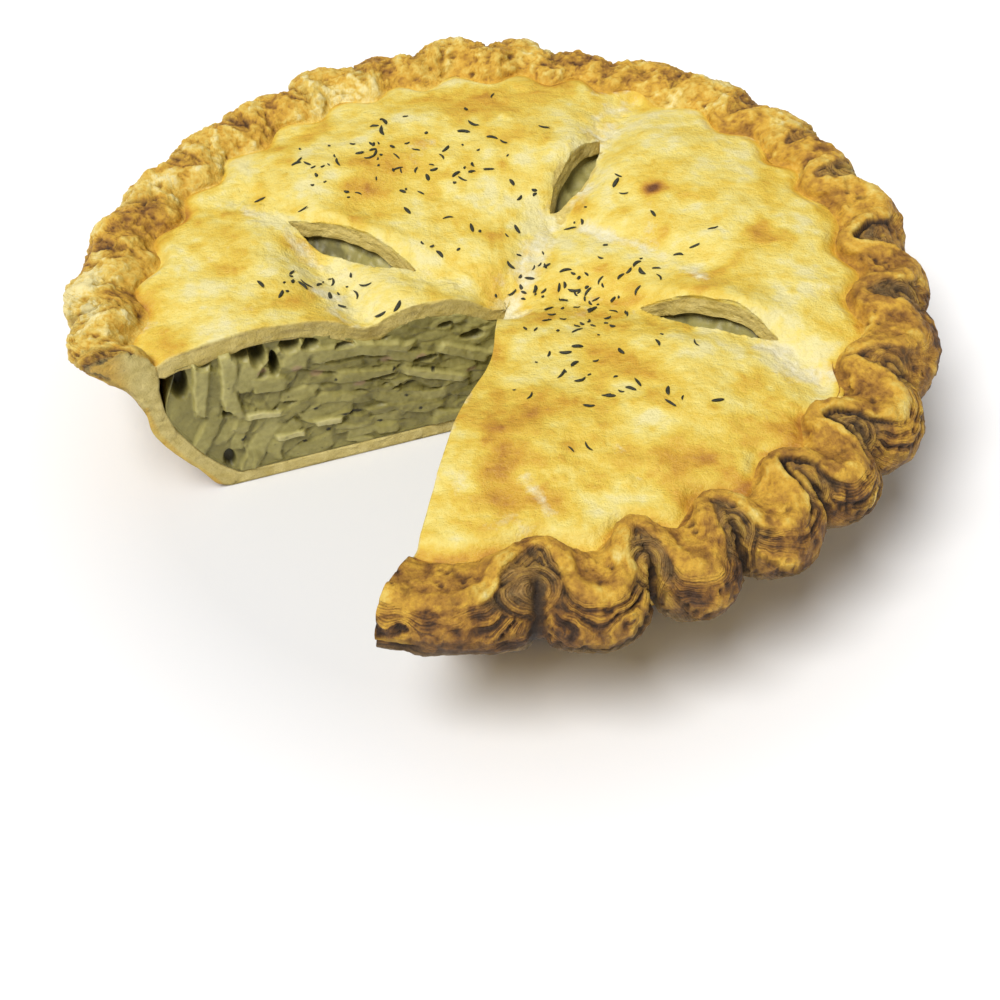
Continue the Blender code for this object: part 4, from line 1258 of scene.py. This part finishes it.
def cut_face(reach, height, seed):
    """Relief and tints of a cut face, painted slice over slice."""
    p = stack(reach, height)
    warp = fbm(p, 9.0, seed, 3)
    stand = fbm(p, 12.0, seed + 1, 3) * 0.5 - 0.6
    tint = 0.42 + fbm(p, 7.0, seed + 2, 3) * 0.12
    dark = np.zeros(np.shape(reach))
    blush = np.zeros(np.shape(reach))
    every = slices_at_cut(seed, 150)
    ragged, ends = fbm(p, 3.0, seed + 11, 2) * 0.22, noise(p, 2.5, seed + 9) * 0.8
    cloudy, specked = noise(p, 5.0, seed + 5) * 0.06, fbm(p, 1.3, seed + 6, 3) * 0.16
    if seed == LEFT_FACE_SEED:
        every = every + list(BATONS)
    for cr, ch, half, thick, tilt, level, shade, slope, bend in every:
        u, v = turned(reach - cr, height - ch, math.radians(tilt))
        v = v + bend * u * u + warp * 0.9
        edge = np.maximum(np.abs(u + ends) / half, (np.abs(v) / thick))
        inside = smooth(edge + ragged, 1.06, 0.72)
        face = level + slope * v / thick + (1 - edge**4) * 0.25
        stand = mix(stand, face, inside)
        # painted highlight: the upper edge of each piece is made paler
        lit_top_edge = hill(edge, 0.93, 0.10) * inside * np.where(v > 0, 1.0, 0.15)
        tint = mix(tint, shade + cloudy + lit_top_edge * 0.10 + specked, inside)
        shadow = smooth(edge, 1.25, 1.0) * (1 - inside) * np.where(v < 0, 1.0, 0.3)
        tint = tint - shadow * 0.09
        stand = stand - shadow * 0.18
    stand = stand + fbm(p, 2.2, seed + 7, 3) * 0.35
    dark = np.maximum(dark, smooth(noise(p, 1.3, seed + 21), 0.78, 0.93) * 0.6)
    if seed == LEFT_FACE_SEED:
        for cr, ch, wide, tall, depth in HOLES:
            away = np.hypot((reach - cr) / wide, (height - ch) / tall) + warp * 0.35
            hole = smooth(away, 1.15, 0.75)
            stand = mix(stand, -depth, hole)
            # painted shade: the holes are darkened as well as sunk
            dark = np.maximum(dark, hole * 0.9)
        for cr, ch, wide, tall, tilt in HERBS_AT_CUT:
            u, v = turned(reach - cr, height - ch, math.radians(tilt))
            dark = np.maximum(dark, smooth(np.hypot(u / wide, v / tall), 1.2, 0.8))
        for cr, ch, wide, tall in BLUSH:
            away = np.hypot((reach - cr) / wide, (height - ch) / tall) + warp * 0.4
            blush = np.maximum(blush, smooth(away, 1.2, 0.6) * 0.7)
    return stand, tint, dark, blush


def filling_top(x, y):
    p = stack(x, y)
    height = lid_base(x, y) - LID_THICKNESS - 0.6
    for slit in SLITS:
        along, across = slit_frame(x, y, slit)
        pit = np.exp(-(along**4)) * hill(across, 0.0, SLIT_PIT_WIDTH)
        height = height - pit * (SLIT_PIT_DEPTH * 0.55 + fbm(p, 5.0, 181, 3) * 4.0)
    return height


def build_filling(finish):
    fine = np.linspace(CUT_RIGHT, CUT_LEFT, FILLING_STATIONS)
    skin = Skin()
    skin.row(np.array([CUT_RIGHT]), [(*APEX, BASE_TOP + GAP)])
    for radius in np.arange(2.0, 84.0, 2.0):
        skin.ring(fine[::4], radius, BASE_TOP + GAP)
    side = through(np.array(FILLING_SIDE), (4, 5, 6, 4, 5))
    for radius, height in side:
        skin.ring(fine, radius, height)
    for radius in np.arange(97.0, 2.0, -0.9):
        skin.ring(fine if radius > 20 else fine[::4], radius, filling_top)
    skin.row(np.array([CUT_RIGHT]), [(*APEX, float(filling_top(*APEX)))])
    skin.cap(0, 0.7, lambda r, h: cut_face(r, h, RIGHT_FACE_SEED)[0])
    skin.cap(-1, 0.45, lambda r, h: cut_face(r, h, LEFT_FACE_SEED)[0])
    piece = skin.mesh("filling_core")
    fix_normals(piece)
    p = positions(piece)
    tint = 0.52 + fbm(p, 8.0, 191, 4) * 0.35
    dark = np.zeros(len(p))
    blush = np.zeros(len(p))
    # painted shade: the filling is darkened in patches in the pits under the slits
    for slit in SLITS:
        along, across = slit_frame(p[:, 0], p[:, 1], slit)
        hole = smooth(fbm(p, 6.0, 193, 3), 0.15, 0.45) * (np.abs(along) < 1.1) * (np.abs(across) < 9.0)
        dark = np.maximum(dark, hole * 0.6)
    for cut, seed in ((0, RIGHT_FACE_SEED), (-1, LEFT_FACE_SEED)):
        reach = (p[:, :2] - APEX) @ cut_axes(cut)[0]
        near = (np.abs(cut_depth(p, cut)) < (8.0 if cut == -1 else 2.6)) & (reach > -1.0)
        found = cut_face(reach[near], p[near, 2], seed)
        tint[near], dark[near], blush[near] = found[1], found[2], found[3]
    for name, values in (("tint", tint), ("dark", dark), ("blush", blush)):
        attribute(piece, name, np.clip(values, 0.0, 1.0))
    piece.data.materials.append(finish)
    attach(piece, "root")
    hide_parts("filling")
    return piece


# The stage, the lights and the camera

FLOOR_REACH = 6000.0
FLOOR_DROP = 0.3
SUN_ENERGY = 3.35
SUN_ANGLE = 30.0
SUN_COLOUR = (1.0, 0.988, 0.97)
SUN_FROM = (-0.31, -0.36, 1.0)
SKY_STRENGTH = 0.30
CAMERA_LENS = 62.277
CAMERA_AXES = ((0.99896, -0.03188, -0.0327), (0.04558, 0.74063, 0.67036), (0.00285, -0.67115, 0.74132))
CAMERA_PLACE = (0.0, -0.39165, 0.39190)


def build_stage():
    n = Nodes("pale_floor_painted_shadow")
    away = n.node("ShaderNodeVectorMath", operation="LENGTH")
    n.link(n.place(), away.inputs[0])
    away = n.math("MULTIPLY", away.outputs["Value"], 2.0)
    # painted shadow: the floor is darker round the pie, fading out from 11 to 19 cm from its middle
    tone = n.ramp(away, (0.22, (0.70, 0.70, 0.71)), (0.37, (0.94, 0.94, 0.95)))
    floor = n.finish(tone, 0.9, None, 0.1)
    corners = [(x * FLOOR_REACH, y * FLOOR_REACH, -FLOOR_DROP) for x, y in ((-1, -1), (1, -1), (1, 1), (-1, 1))]
    piece = make_mesh("floor", corners, [[0, 1, 2, 3]])
    piece.data.materials.append(floor)


def build_lights():
    data = bpy.data.lights.new("key", "SUN")
    data.energy = SUN_ENERGY
    data.angle = math.radians(SUN_ANGLE)
    data.color = SUN_COLOUR
    sun = bpy.data.objects.new("key", data)
    bpy.context.scene.collection.objects.link(sun)
    sun.rotation_euler = Vector(SUN_FROM).to_track_quat("Z", "Y").to_euler()
    world = bpy.data.worlds.new("studio")
    bpy.context.scene.world = world
    world.use_nodes = True
    back = world.node_tree.nodes["Background"]
    back.inputs["Color"].default_value = (1.0, 1.0, 1.0, 1.0)
    back.inputs["Strength"].default_value = SKY_STRENGTH


def build_camera():
    data = bpy.data.cameras.new("camera")
    data.lens = CAMERA_LENS
    data.sensor_width = 36.0
    data.clip_start = 0.01
    made = bpy.data.objects.new("camera", data)
    bpy.context.scene.collection.objects.link(made)
    made.matrix_world = Matrix.Translation(CAMERA_PLACE) @ Matrix(CAMERA_AXES).transposed().to_4x4()
    bpy.context.scene.camera = made


bpy.context.scene.view_settings.view_transform = "Standard"
build_camera()
build_lights()
build_stage()
build_crust(crust_material())
lid = build_lid(lid_material())
build_leaves(leaf_material(), lid)
build_filling(filling_material())
